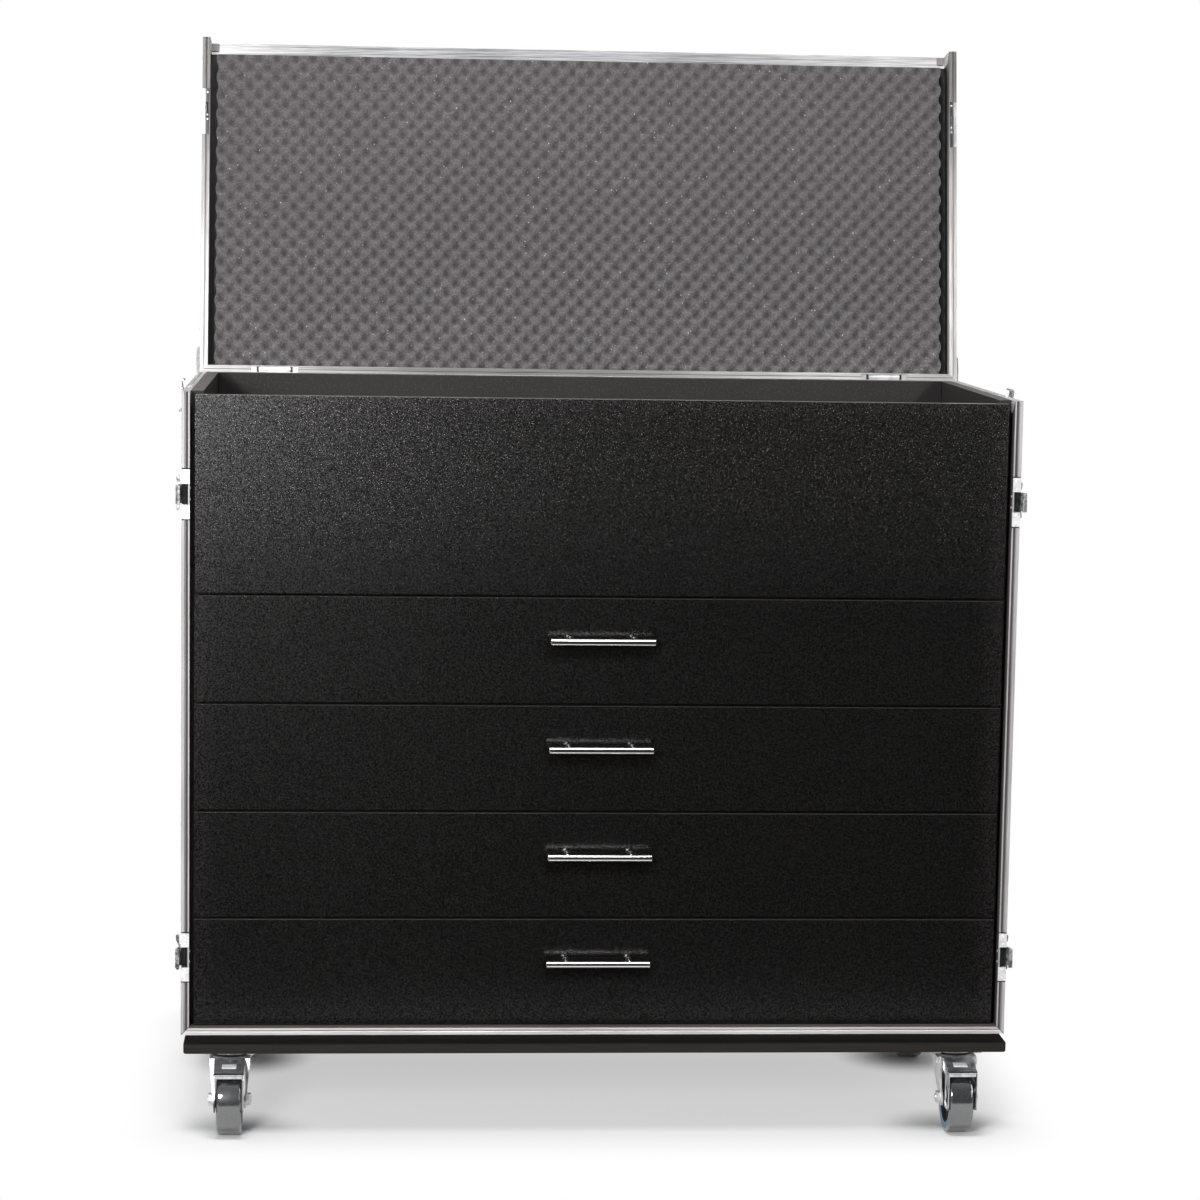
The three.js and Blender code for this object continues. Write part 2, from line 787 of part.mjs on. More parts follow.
function carcassSide(side) {
  const height = [floorTop + fit, rimTop];
  const panel = block([carcassInner, carcassOuter], [carcassFront, carcassBackOuter], height);
  const rails = drawerNumbers().map((drawer) => {
    const start = new THREE.Vector3(carcassInner + joinSink, carcassFront, railHeightOf(drawer));
    return extruded(runnerRail(), X.clone().negate(), Z, start, boxEnd - carcassFront);
  });
  const form = join(panel, ...rails);
  return cut(side > 0 ? form : mirrored(form), placed(handleSeat(), gripHolder(side)));
}

function carcassBack() {
  const inner = carcassInner - fit;
  return block([-inner, inner], [carcassBackInner, carcassBackOuter], [floorTop + fit, rimTop]);
}

function compartmentFloor() {
  const inner = carcassInner - fit;
  return block([-inner, inner], [carcassFront, carcassBackInner - fit],
    [panelBottom + fit, panelBottom + shelfThickness]);
}

function frontPanel() {
  return block([-frontHalfWidth, frontHalfWidth], [frontFace, frontBack], [panelBottom, panelTop]);
}

// Drawer: front board, box and the runner members on its sides
function sliderShape() {
  const deep = railDepth + fit - railWall - sliderGap + joinSink;
  const half = railHeight / 2 - railWall - sliderGap;
  const web = sliderWeb / 2;
  return outline([
    [0, -web],
    [deep - sliderWall, -web],
    [deep - sliderWall, -half],
    [deep, -half],
    [deep, half],
    [deep - sliderWall, half],
    [deep - sliderWall, web],
    [0, web],
  ]);
}

function drawerForm() {
  const front = block([-frontHalfWidth, frontHalfWidth], [frontFace, frontBack], [0, drawerFrontHeight]);
  const top = boxRise + boxHeight;
  const shell = block([-boxHalfWidth, boxHalfWidth], [frontBack - joinSink, boxEnd], [boxRise, top]);
  const inner = boxHalfWidth - boxWall;
  const bottom = boxRise + boxBottomRise;
  const roomLength = [frontBack + boxWall, boxEnd - boxWall];
  const room = block([-inner, inner], roomLength, [bottom + boxBottom, top + overrun]);
  const under = block([-inner, inner], [frontBack + boxWall, boxEnd - boxWall], [boxRise - overrun, bottom]);
  const box = cut(shell, room, under);
  const middle = boxRise + boxHeight / 2;
  const start = new THREE.Vector3(boxHalfWidth - joinSink, boxEnd, middle);
  const slider = extruded(sliderShape(), X, Z, start, boxEnd - carcassFront);
  return join(front, box, slider, mirrored(joinOne(slider)));
}

function joinOne(form) {
  return geometryOf(solidOf(form));
}

// Bar handle on two posts that stand on the drawer front
function barHandle() {
  const bar = rod(X, handleBarRadius, [0, -handleStandoff, 0], handleLength);
  const posts = [-1, 1].map((side) => {
    const x = side * handlePostSpacing / 2;
    return rod(Y, handlePostRadius, [x, -(handleStandoff + fit) / 2, 0], handleStandoff - fit);
  });
  return join(bar, ...posts);
}

// Lid, in the hinge pin's frame with the lid closed
function lidShell() {
  const wallTop = lidTop - edgeWall - lidSlack;
  const rear = lidRear - edgeWall - lidSlack;
  const half = plyOuter - lidSlack;
  const inner = plyInner + lidSlack;
  const outer = block([-half, half], [lidFront + plyEdge, rear], [lidRim + plyEdge, wallTop]);
  const room = block([-inner, inner], [lidFront - overrun, rear - plyThickness + 2 * lidSlack],
    [lidRim - overrun, wallTop - plyThickness + 2 * lidSlack]);
  const catches = [-1, 1].map((side) => placed(catchSeat(), catchHolder(side)));
  const trays = [-1, 1].map((side) => block(around(side * hingeX, hingeWidth + 2 * fit),
    [lidRear - edgeWidth, lidRear + overrun],
    [lidRim - overrun, lidRim + 2 * hingeBarRadius + fit]));
  return cut(outer, room, ...catches, ...trays);
}

function catchHolder(side) {
  return holderAt(side * halfWidth, lidLatchY - pinY, lidRim, Math.PI / 2, side > 0 ? 0 : Math.PI);
}

function lidRimFrame() {
  const corner = (x, y) => new THREE.Vector3(x, y, lidRim);
  const path = [
    corner(halfWidth, lidFront + mitreGap),
    corner(halfWidth, lidRear),
    corner(-halfWidth, lidRear),
    corner(-halfWidth, lidFront + mitreGap),
  ];
  const frame = mitred(tongued, path, Z, [1, 1]);
  const flat = block([-halfWidth, halfWidth], [lidRear - edgeWidth, lidRear], [lidRim - edgeFace, lidRim]);
  const seats = [-1, 1].map((side) => placed(catchSeat(), catchHolder(side)));
  const notches = [-1, 1].map((side) => block(around(side * hingeX, hingeWidth + 2 * fit),
    [lidRear - edgeWidth + edgeWall, lidRear + overrun], [lidRim - overrun, lidRim + edgeLeg + overrun]));
  return cut(frame, flat, ...seats, ...notches);
}

function lidEdgeFrame() {
  const front = (x, z) => new THREE.Vector3(x, lidFront, z);
  const mouth = mitred(grooved, [
    front(-halfWidth, lidRim + mitreGap),
    front(-halfWidth, lidTop),
    front(halfWidth, lidTop),
    front(halfWidth, lidRim + mitreGap),
  ], Y, [1, 1]);
  const top = (x, y) => new THREE.Vector3(x, y, lidTop);
  const start = lidFront + edgeLeg - joinSink;
  const round = mitred(angle, [
    top(-halfWidth, start),
    top(-halfWidth, lidRear),
    top(halfWidth, lidRear),
    top(halfWidth, start),
  ], Z.clone().negate());
  const post = (x, depth) => {
    const foot = new THREE.Vector3(x, lidRear, lidRim + edgeLeg + fit);
    return mitred(angle, [foot, top(x, lidRear)], depth);
  };
  const posts = [post(halfWidth, Y.clone().negate()), post(-halfWidth, X)];
  const inset = halfWidth - joinSink;
  const core = block([-inset, inset], [lidFront, lidRear - joinSink], [lidRim, lidTop - joinSink]);
  const rim = block([-halfWidth - fit, halfWidth + fit], [lidFront, lidRear + fit],
    [lidRim - overrun, lidRim + edgeLeg + fit]);
  const corners = [-1, 1].map((side) => cut(ballCorner(side * (halfWidth - cornerInset), lidRear - cornerInset,
    lidTop - cornerInset), core, rim));
  return join(mouth, round, ...posts, ...corners);
}

function lidFoam() {
  const half = halfWidth - foamSideRoom;
  const back = lidTop - edgeWall - plyThickness - fit;
  const length = [lidFront + foamFrontRoom, lidRear - foamRearRoom];
  return block([-half, half], length, [back - foamThickness, back]);
}

// Hinge leaves, about the pin at y = z = 0
function knuckles(spans) {
  return spans.map(([from, to]) => rod(X, hingeKnuckleRadius, [(from + to) / 2, 0, 0], to - from));
}

const hingeEnd = hingeWidth / 2;
const knuckleEnd = hingeEnd - hingeWidth * hingeKnuckleShare;
const leafBack = lidRear - edgeWall + fit;

function bodyLeaf() {
  const spans = [[-hingeEnd, -knuckleEnd], [knuckleEnd, hingeEnd]];
  const shell = [leafBack, leafBack + hingeLeafWall];
  const plateHeight = [-hingeKnuckleRadius - hingeLeafHeight, -hingeKnuckleRadius - fit];
  const plate = block([-hingeEnd, hingeEnd], shell, plateHeight);
  const tabs = spans.map((span) => block(span, shell, [-hingeKnuckleRadius - overrun, 0]));
  const pin = rod(X, hingeKnuckleRadius / 2, [0, 0, 0], hingeWidth - hingeLeafWall);
  return join(plate, ...tabs, ...knuckles(spans), pin);
}

function lidLeaf() {
  const span = [fit - knuckleEnd, knuckleEnd - fit];
  const shell = [leafBack, leafBack + hingeLeafWall];
  const plate = block([-hingeEnd, hingeEnd], shell, [lidRim + fit, lidRim + hingeLeafHeight]);
  const tab = block(span, shell, [0, lidRim + overrun]);
  const trayFront = lidRear - edgeWidth + edgeWall + fit;
  const tray = block([-hingeEnd, hingeEnd], [trayFront, leafBack + hingeLeafWall],
    [lidRim + hingeTrayDepth, lidRim + hingeTrayDepth + hingeLeafWall]);
  const barY = (trayFront + leafBack) / 2;
  const bar = rod(X, hingeBarRadius, [0, barY, lidRim + hingeBarRadius], hingeBarLength);
  const bore = rod(X, hingeKnuckleRadius / 2 + fit, [0, 0, 0], hingeWidth);
  return cut(join(plate, tab, tray, bar, ...knuckles([span])), bore);
}

// Casters
function casterPlate() {
  const shape = roundedRectangle(plateWidth, plateLength, plateCornerRadius);
  const plate = alongZ(shape, casterHeight - plateThickness, casterHeight - fit);
  const raceTop = casterHeight - plateThickness;
  const raceBottom = raceTop - raceHeight;
  const race = new THREE.LatheGeometry([
    new THREE.Vector2(0, raceBottom),
    new THREE.Vector2(raceRadius, raceBottom),
    new THREE.Vector2(raceRadius, (raceTop + raceBottom) / 2),
    new THREE.Vector2(raceNeckRadius, raceTop + joinSink),
    new THREE.Vector2(0, raceTop + joinSink),
  ], roundSides);
  race.rotateX(Math.PI / 2);
  const crownBottom = raceBottom - swivelGap - crownThickness;
  const nutTop = crownBottom - swivelGap;
  const pinLength = raceBottom - nutTop + kingpinNutHeight;
  const pin = rod(Z, kingpinRadius, [0, 0, raceBottom - pinLength / 2 + joinSink], pinLength);
  const nut = rod(Z, kingpinNutRadius, [0, 0, nutTop - kingpinNutHeight / 2], kingpinNutHeight, hexSides);
  const bolts = [];
  for (const x of around(0, boltSpacingWidth)) {
    for (const y of around(0, boltSpacingLength)) {
      const middle = [x, y, raceTop - boltHeadHeight / 2 + joinSink];
      bolts.push(rod(Z, boltHeadRadius, middle, boltHeadHeight, hexSides));
    }
  }
  return join(plate, race, pin, nut, ...bolts);
}

const crownTop = casterHeight - plateThickness - raceHeight - swivelGap;

// Leans a flat plate of the fork outward towards its top
function leaned(plate) {
  const position = plate.attributes.position;
  const foot = axleHeight - forkFootRadius;
  const slope = forkFlare / (crownTop - joinSink - foot);
  for (let i = 0; i < position.count; i++) {
    position.setX(i, position.getX(i) + (position.getZ(i) - foot) * slope);
  }
  return joinOne(plate);
}

// One fork leg, with its front edge turned inward as far as the pedal's arms leave room
function forkLeg(side) {
  const crown = crownTop - joinSink;
  const toe = -wheelOffset - forkFootRadius;
  const shape = new THREE.Shape();
  shape.moveTo(forkTopBack, crown);
  shape.lineTo(-forkTopFront, crown);
  shape.lineTo(toe, axleHeight);
  shape.absarc(-wheelOffset, axleHeight, forkFootRadius, Math.PI, 2 * Math.PI);
  const inner = forkInnerWidth / 2;
  const edge = outline([
    [-forkTopFront, crown],
    [-forkTopFront + forkFlangeDepth, crown],
    [toe + forkFlangeDepth, axleHeight],
    [toe, axleHeight],
  ]);
  const flangeEnd = pedalInnerWidth / 2 + pedalWall + forkFlangeClearance;
  const beside = block([0, flangeEnd], [-reach, reach], [0, crown + overrun]);
  const flange = cut(leaned(alongX(edge, inner - forkFlare, inner + forkWall)), beside);
  const solid = join(leaned(alongX(shape, inner, inner + forkWall)), flange);
  return side > 0 ? solid : mirrored(solid);
}

function casterFork(braked) {
  const crown = rod(Z, crownRadius, [0, 0, crownTop - crownThickness / 2], crownThickness, roundSides);
  const bore = rod(Z, kingpinRadius + swivelGap, [0, 0, crownTop], reach);
  const legs = [-1, 1].map(forkLeg);
  const axleLength = forkInnerWidth + 2 * forkWall + 2 * axleHeadHeight;
  const axle = rod(X, axleRadius, [0, -wheelOffset, axleHeight], axleLength);
  const heads = [-1, 1].map((side) => rod(X, axleHeadRadius,
    [side * (axleLength - axleHeadHeight) / 2, -wheelOffset, axleHeight], axleHeadHeight, hexSides));
  const parts = [cut(crown, bore), ...legs, axle, ...heads];
  if (braked) {
    const outer = forkInnerWidth / 2 + forkWall + forkFlare;
    for (const side of [-1, 1]) {
      const stub = [side * (pedalInnerWidth / 2 + outer) / 2, -pedalPivotForward, pedalPivotHeight];
      parts.push(rod(X, pedalPivotRadius, stub, outer - pedalInnerWidth / 2));
    }
  }
  return join(...parts);
}

function casterWheel() {
  const bore = axleRadius + axleClearance;
  const hubEnd = forkInnerWidth / 2 - hubClearance;
  const tread = treadWidth / 2;
  const web = webThickness / 2;
  const tyreRoot = wheelRadius - tyreDepth;
  const rimRoot = tyreRoot - rimDepth;
  const half = [
    [bore, hubEnd],
    [hubRadius, hubEnd],
    [hubRadius, web],
    [rimRoot, web],
    [rimRoot, tread - rimInset],
    [tyreRoot, tread],
    [wheelRadius - shoulderRadius, tread],
    [wheelRadius, tread - shoulderRadius],
  ];
  const other = half.map(([radius, x]) => [radius, -x]).reverse();
  const loop = [...half, ...other, half[0]].reverse();
  const wheel = new THREE.LatheGeometry(loop.map(([radius, x]) => new THREE.Vector2(radius, x)), wheelSides);
  wheel.rotateZ(-Math.PI / 2);
  return joinOne(wheel);
}

// Stirrup pedal over the wheel; its arms run down beside the tyre
function brakePedal() {
  const inner = pedalInnerWidth / 2;
  const outer = inner + pedalWall;
  const arm = new THREE.Shape();
  arm.absarc(-pedalPivotForward, pedalPivotHeight, pedalBossRadius, -Math.PI / 2, Math.PI / 2);
  arm.lineTo(-pedalBackForward, pedalBackHeight);
  arm.lineTo(-pedalTipForward, pedalTipHeight);
  arm.lineTo(-pedalTipForward, pedalArmBottom);
  arm.lineTo(-pedalArmBackForward, pedalArmBottom);
  arm.lineTo(-pedalArmBackForward, pedalArmNeckHeight);
  const plate = outline([
    [-pedalBackForward, pedalBackHeight],
    [-pedalTipForward, pedalTipHeight],
    [-pedalTipForward, pedalTipHeight - pedalLip],
    [pedalPlate - pedalTipForward, pedalTipHeight - pedalLip],
    [pedalPlate - pedalTipForward, pedalTipHeight - pedalPlate],
    [-pedalBackForward, pedalBackHeight - pedalPlate],
  ]);
  const arms = [alongX(arm, -outer, -inner), alongX(arm, inner, outer)];
  const bore = rod(X, pedalPivotRadius + fit, [0, -pedalPivotForward, pedalPivotHeight], reach);
  const hole = block(around(0, pedalHoleWidth), around(-pedalHoleForward, pedalHoleLength),
    around(pedalTipHeight, 2 * pedalLip + 2 * pedalPlate));
  return cut(join(alongX(plate, -outer, outer), ...arms), bore, hole);
}

// Assembly
const roadCase = new THREE.Group();
const body = new THREE.Group();
roadCase.add(body);

for (const [side, name] of [[-1, 'left'], [1, 'right']]) {
  piece(`side_wall_${name}`, sideWall(side), blackPly, body);
  piece(`carcass_side_${name}`, carcassSide(side), blackPly, body);
}
piece('rear_wall', rearWall(), blackPly, body);
piece('front_edge_frame', frontEdgeFrame(), aluminium, body);
piece('rim_edge_frame', rimEdgeFrame(), aluminium, body);
piece('rear_edge_frame', rearEdgeFrame(), aluminium, body);
piece('base_board', baseBoard(), blackPly, body);
piece('carcass_back', carcassBack(), blackPly, body);
piece('compartment_floor', compartmentFloor(), blackPly, body);
piece('front_panel', frontPanel(), blackPly, body);

// Drawers, the top one first
const drawer = drawerForm();
const handle = barHandle();
for (const number of drawerNumbers()) {
  const slide = new THREE.Group();
  slide.position.z = drawerBottomOf(number);
  roadCase.add(slide);
  piece(`drawer_${number}`, drawer, blackPly, slide);
  const bar = piece(`drawer_handle_${number}`, handle, stainless, slide);
  bar.position.set(0, frontFace, drawerFrontHeight - handleDrop);
}

// Latches, with their claws let go
const wing = latchWing();
const claw = latchClaw();
for (const [name, holder] of Object.entries(latchHolders)) {
  roadCase.add(holder);
  const turning = piece(`latch_wing_${name}`, wing, zinc, holder);
  turning.position.y = -wingAxisBack;
  const swinging = piece(`latch_claw_${name}`, claw, zinc, holder);
  swinging.position.set(-clawPivotIn, -clawPivotBack, 0);
  swinging.rotation.z = -clawReleaseAngle;
}

// Side handles, hanging in their dishes
const dish = handleDish();
const grip = sideGrip();
for (const [side, name] of [[-1, 'left'], [1, 'right']]) {
  const holder = gripHolder(side);
  roadCase.add(holder);
  piece(`handle_dish_${name}`, dish, zinc, holder);
  piece(`side_grip_${name}`, grip, gripBlack, holder).position.set(-bailPivotIn, 0, bailPivotRise);
}

// Lid, standing open on its hinges
const lid = new THREE.Group();
lid.position.set(0, pinY, pinZ);
lid.rotation.x = -lidOpenAngle;
roadCase.add(lid);
piece('lid_shell', lidShell(), blackPly, lid);
piece('lid_rim_frame', lidRimFrame(), aluminium, lid);
piece('lid_edge_frame', lidEdgeFrame(), aluminium, lid);
piece('lid_foam', lidFoam(), foamGrey, lid);
const catcher = catchDish();
const fixedLeaf = bodyLeaf();
const swungLeaf = lidLeaf();
for (const [side, name] of [[-1, 'left'], [1, 'right']]) {
  const holder = catchHolder(side);
  lid.add(holder);
  piece(`catch_dish_${name}`, catcher, zinc, holder);
  piece(`hinge_leaf_body_${name}`, fixedLeaf, zinc, body).position.set(side * hingeX, pinY, pinZ);
  piece(`hinge_leaf_lid_${name}`, swungLeaf, zinc, lid).position.x = side * hingeX;
}

// Casters: the front pair has brakes
const topPlate = casterPlate();
const wheel = casterWheel();
const plainFork = casterFork(false);
const brakedFork = casterFork(true);
const pedal = brakePedal();
const casterX = halfWidth - casterSideInset;
const casterRows = [
  ['front', casterFrontInset - boardOverhang, true],
  ['rear', bodyDepth - casterRearInset, false],
];
for (const [row, y, braked] of casterRows) {
  for (const [side, name] of [[-1, 'left'], [1, 'right']]) {
    const caster = new THREE.Group();
    caster.position.set(side * casterX, y, 0);
    roadCase.add(caster);
    piece(`caster_plate_${row}_${name}`, topPlate, zinc, caster);
    piece(`caster_fork_${row}_${name}`, braked ? brakedFork : plainFork, zinc, caster);
    const turning = piece(`caster_wheel_${row}_${name}`, wheel, tyreRubber, caster);
    turning.position.set(0, -wheelOffset, axleHeight);
    if (braked) piece(`brake_pedal_${name}`, pedal, zinc, caster);
  }
}

// The origin is the middle of the floor under the whole case
const bounds = new THREE.Box3().setFromObject(roadCase, true);
roadCase.position.y = -(bounds.min.y + bounds.max.y) / 2;

export default roadCase;
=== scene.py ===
"""Looks of a wheeled road case: a foam-lined lid over a top compartment and four drawers.

Everything is in metres. X runs to the right, Y from the front to the rear, Z up from the floor.
"""
import json
import math

import bmesh
import bpy
from mathutils import Matrix, Vector
from mathutils.geometry import tessellate_polygon


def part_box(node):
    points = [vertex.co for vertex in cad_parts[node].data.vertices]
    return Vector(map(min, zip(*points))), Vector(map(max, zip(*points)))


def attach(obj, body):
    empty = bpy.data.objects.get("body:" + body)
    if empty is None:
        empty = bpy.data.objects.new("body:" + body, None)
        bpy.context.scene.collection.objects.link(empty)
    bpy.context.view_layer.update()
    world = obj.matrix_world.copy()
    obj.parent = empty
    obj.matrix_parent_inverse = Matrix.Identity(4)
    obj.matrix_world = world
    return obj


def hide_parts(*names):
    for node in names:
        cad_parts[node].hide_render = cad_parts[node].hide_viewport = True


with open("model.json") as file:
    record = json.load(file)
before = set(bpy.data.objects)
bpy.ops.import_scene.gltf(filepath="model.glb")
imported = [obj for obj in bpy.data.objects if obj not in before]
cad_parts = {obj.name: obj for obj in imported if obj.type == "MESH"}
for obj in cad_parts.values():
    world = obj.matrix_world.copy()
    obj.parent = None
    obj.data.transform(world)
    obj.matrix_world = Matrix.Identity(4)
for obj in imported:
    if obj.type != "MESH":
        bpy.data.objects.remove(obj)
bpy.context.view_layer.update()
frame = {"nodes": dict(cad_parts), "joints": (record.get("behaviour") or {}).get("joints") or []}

MM = 0.001
X, Y, Z = Vector((1, 0, 0)), Vector((0, 1, 0)), Vector((0, 0, 1))
SIDES = {"left": -1, "right": 1}
DRAWERS = range(1, 5)
JOINTS = {joint["name"]: joint for joint in frame["joints"]}
CASTERS = [(row, side) for row in ("front", "rear") for side in SIDES]


def pivot(joint):
    return Vector(JOINTS[joint]["pos_m"])


# Places read from the frame, and the size of the edging
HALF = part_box("front_edge_frame")[1].x
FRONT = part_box("front_edge_frame")[0].y
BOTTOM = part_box("front_edge_frame")[0].z
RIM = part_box("rim_edge_frame")[1].z
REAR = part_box("rim_edge_frame")[1].y
EDGE_WIDTH = 12 * MM
EDGE_LEG = 22 * MM
LID_OPEN = math.radians(JOINTS["lid_hinge"]["range_deg"][1])
HINGE_PIN = pivot("lid_hinge")
LID = Matrix.Translation(HINGE_PIN) @ Matrix.Rotation(-LID_OPEN, 4, "X")

# Sizes of the lid about its hinge pin, when closed
LID_RIM = 3.5 * MM
LID_HEIGHT = 60 * MM
LID_LENGTH = 531 * MM
LID_REAR = -1.5 * MM
LID_FRONT = LID_REAR - LID_LENGTH
LID_TOP = LID_RIM + LID_HEIGHT

# The camera that took the photograph
LENS = 99.79
SENSOR = 36.0
CAMERA_X = -351.5 * MM
CAMERA_BACK = 4713.7 * MM
CAMERA_HEIGHT = 1347.6 * MM
CAMERA_YAW = math.radians(4.2105)
CAMERA_PITCH = math.radians(6.891)
CAMERA_ROLL = math.radians(0.9388)


# Shader maths
def reckon(operation):
    """A method of Value that makes one maths node."""
    return lambda value, *others: value.math(operation, *others)


class Value:
    """A node's output that can be reckoned with."""

    def __init__(self, finish, socket):
        self.finish = finish
        self.socket = socket

    def math(self, operation, *others):
        return self.finish.node("ShaderNodeMath", [self, *others], operation=operation)

    __add__ = __radd__ = reckon("ADD")
    __sub__ = reckon("SUBTRACT")
    __mul__ = __rmul__ = reckon("MULTIPLY")
    __gt__ = reckon("GREATER_THAN")
    __lt__ = reckon("LESS_THAN")
    __abs__ = reckon("ABSOLUTE")
    smaller = reckon("MINIMUM")
    larger = reckon("MAXIMUM")

    def __rsub__(self, other):
        return self * -1 + other

    def between(self, low, high):
        """0 below low and 1 above high, with a soft step."""
        inputs = {"Value": self, "From Min": low, "From Max": high}
        return self.finish.node("ShaderNodeMapRange", inputs, interpolation_type="SMOOTHSTEP")

    def near(self, full, none):
        """1 up to a distance of full from zero, fading to 0 at none, both in millimetres."""
        return 1 - abs(self).between(full * MM, none * MM)


def opaque(value):
    """A colour with its fourth number. Anything else stays as it is."""
    return (*value, 1) if isinstance(value, tuple) else value


class Finish:
    """The shader nodes of a material, or of the world, under construction."""

    def __init__(self, owner):
        self.owner = owner
        owner.use_nodes = True
        self.nodes, self.links = owner.node_tree.nodes, owner.node_tree.links
        self.nodes.clear()

    def node(self, kind, inputs=(), output=0, **settings):
        """A new node. Its inputs go by place or by name, each a constant or another node's output."""
        made = self.nodes.new(kind)
        for name, value in settings.items():
            setattr(made, name, value)
        for name, value in inputs.items() if isinstance(inputs, dict) else enumerate(inputs):
            if isinstance(value, Value):
                self.links.new(value.socket, made.inputs[name])
            else:
                made.inputs[name].default_value = value
        return Value(self, made.outputs[output])

    def place(self):
        """Where a point is on the object, in metres, with the object at rest."""
        return self.node("ShaderNodeTexCoord", output=3)

    def parts(self, vector):
        return [self.node("ShaderNodeSeparateXYZ", [vector], output=i) for i in range(3)]

    def normal(self):
        """The way a point's surface faces, in three parts."""
        return self.parts(self.node("ShaderNodeNewGeometry", output=1))

    def stretched(self, vector, scale, turn=(0, 0, 0), shift=(0, 0, 0)):
        inputs = {"Vector": vector, "Scale": scale, "Rotation": turn, "Location": shift}
        return self.node("ShaderNodeMapping", inputs)

    def noise(self, vector, scale, detail, roughness):
        inputs = {"Vector": vector, "Scale": scale, "Detail": detail, "Roughness": roughness}
        return self.node("ShaderNodeTexNoise", inputs)

    def cells(self, vector, scale, output=0):
        return self.node("ShaderNodeTexVoronoi", {"Vector": vector, "Scale": scale}, output)

    def dots(self, vector, scale):
        """How far a point is from the nearest of many scattered dots, and the lot that this dot drew."""
        return self.cells(vector, scale), self.parts(self.cells(vector, scale, output=1))[1]

    def blend(self, low, high, factor):
        """One colour turning into another as the factor goes from 0 to 1."""
        inputs = {0: factor, 6: opaque(low), 7: opaque(high)}
        return self.node("ShaderNodeMix", inputs, output=2, data_type="RGBA")

    def bump(self, height, depth, strength):
        return self.node("ShaderNodeBump", {"Height": height, "Distance": depth, "Strength": strength})

    def surface(self, **sockets):
        inputs = {name.replace("_", " "): opaque(value) for name, value in sockets.items()}
        return self.output(self.node("ShaderNodeBsdfPrincipled", inputs))

    def output(self, shader, kind="ShaderNodeOutputMaterial"):
        self.links.new(shader.socket, self.nodes.new(kind).inputs[0])
        return self.owner


def paint(name, make):
    return make(Finish(bpy.data.materials.new(name)))


# Finishes
PANEL_INSET = 18 * MM
FRONTS_BACK = (22 * MM, 24 * MM)
GAP_SHADE = 5 * MM
CORNER_SHADE = 70 * MM
GROOVE = 6 * MM
SAW_CUT = 36 * MM
HINGE_INSET = 117 * MM
HINGE_SLOT = 26.5 * MM


def pebbled_paint(finish):
    """Black coating, rolled on: glossy pebbles with bright specks near the top as painted glints, rubbed
    along the edges; also a painted sheen near the top and left, a painted highlight on upward faces, and
    painted shade below the handles and in the gaps.
    """
    place = finish.place()
    x, y, z = finish.parts(place)
    pebbles = finish.noise(place, 400, 3, 0.75)
    patches = finish.noise(place, 5, 4, 0.6)
    speck, lot = finish.dots(place, 560)
    # Painted glints and sheen: the next two masks brighten the coating near the top and towards the left,
    # where the key light's highlight falls.
    sheen_near_top = (z - RIM).between(-330 * MM, -40 * MM)
    lit = 0.8 - x.between(-420 * MM, 60 * MM) * 0.5
    chosen = lot * lot
    # Metal flecks, made brighter as painted glints near the top and left.
    specks = (1 - speck.between(0.2, 0.5)) * chosen * chosen * (sheen_near_top * 0.9 + 0.03) * lit
    # Painted glints: bright specks in the base colour, most near the top and left.
    glints = (1 - speck.between(0.2, 0.45)) * lot.between(0.965, 0.98) * (sheen_near_top * 0.9 + 0.1) * (lit + 0.2)
    edge = (RIM - z).smaller(HALF - abs(x) - PANEL_INSET)
    rubbed = (1 - edge.between(0, 40 * MM)) * (patches * 0.6 + 0.4)
    # Painted highlight: faces that look upward, such as the top arrises, are painted lighter.
    painted_top_highlight = finish.normal()[2].between(0.15, 0.6)
    tips = pebbles.between(0.38, 0.66)
    # Painted shade: the gloss is cut in a painted shadow below each handle bar, on what lies behind the
    # fronts, and in a band above each drawer's gap.
    painted_handle_shadow = 0
    behind_and_gap_shade = (y - FRONT).between(*FRONTS_BACK)
    for number in DRAWERS:
        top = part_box(f"drawer_{number}")[1].z
        behind_and_gap_shade = behind_and_gap_shade.larger((z > top) * (z < (top + GAP_SHADE)))
        low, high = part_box(f"drawer_handle_{number}")
        below_bar = (low.z + high.z) / 2 - 8 * MM
        painted_handle_shadow = (z - below_bar).near(12, 30) * x.near(70, 88) + painted_handle_shadow
    skin = finish.blend((0.0008, 0.0006, 0.0005), (0.0042, 0.0034, 0.003), tips * 0.6 + patches * 0.4)
    # Pebble tips worn lighter along the edges, with a faint painted sheen near the top.
    worn = finish.blend(skin, (0.034, 0.029, 0.029), tips * (rubbed * 0.55 + sheen_near_top * 0.08))
    glinting = finish.blend(finish.blend(worn, (0.3, 0.285, 0.285), specks), (0.62, 0.6, 0.6), glints)
    gloss = (tips * 0.8 + 0.15) * (1 - painted_handle_shadow * 0.65) * (1 - behind_and_gap_shade * 0.85)
    return finish.surface(
        Base_Color=finish.blend(glinting, (0.13, 0.122, 0.12), painted_top_highlight), Metallic=specks * 0.5,
        Roughness=0.5 - specks * 0.28, Specular_IOR_Level=0.0, Coat_Weight=gloss, Coat_Roughness=0.2,
        Coat_IOR=2.6, Normal=finish.bump(pebbles, 0.0008, 0.8))


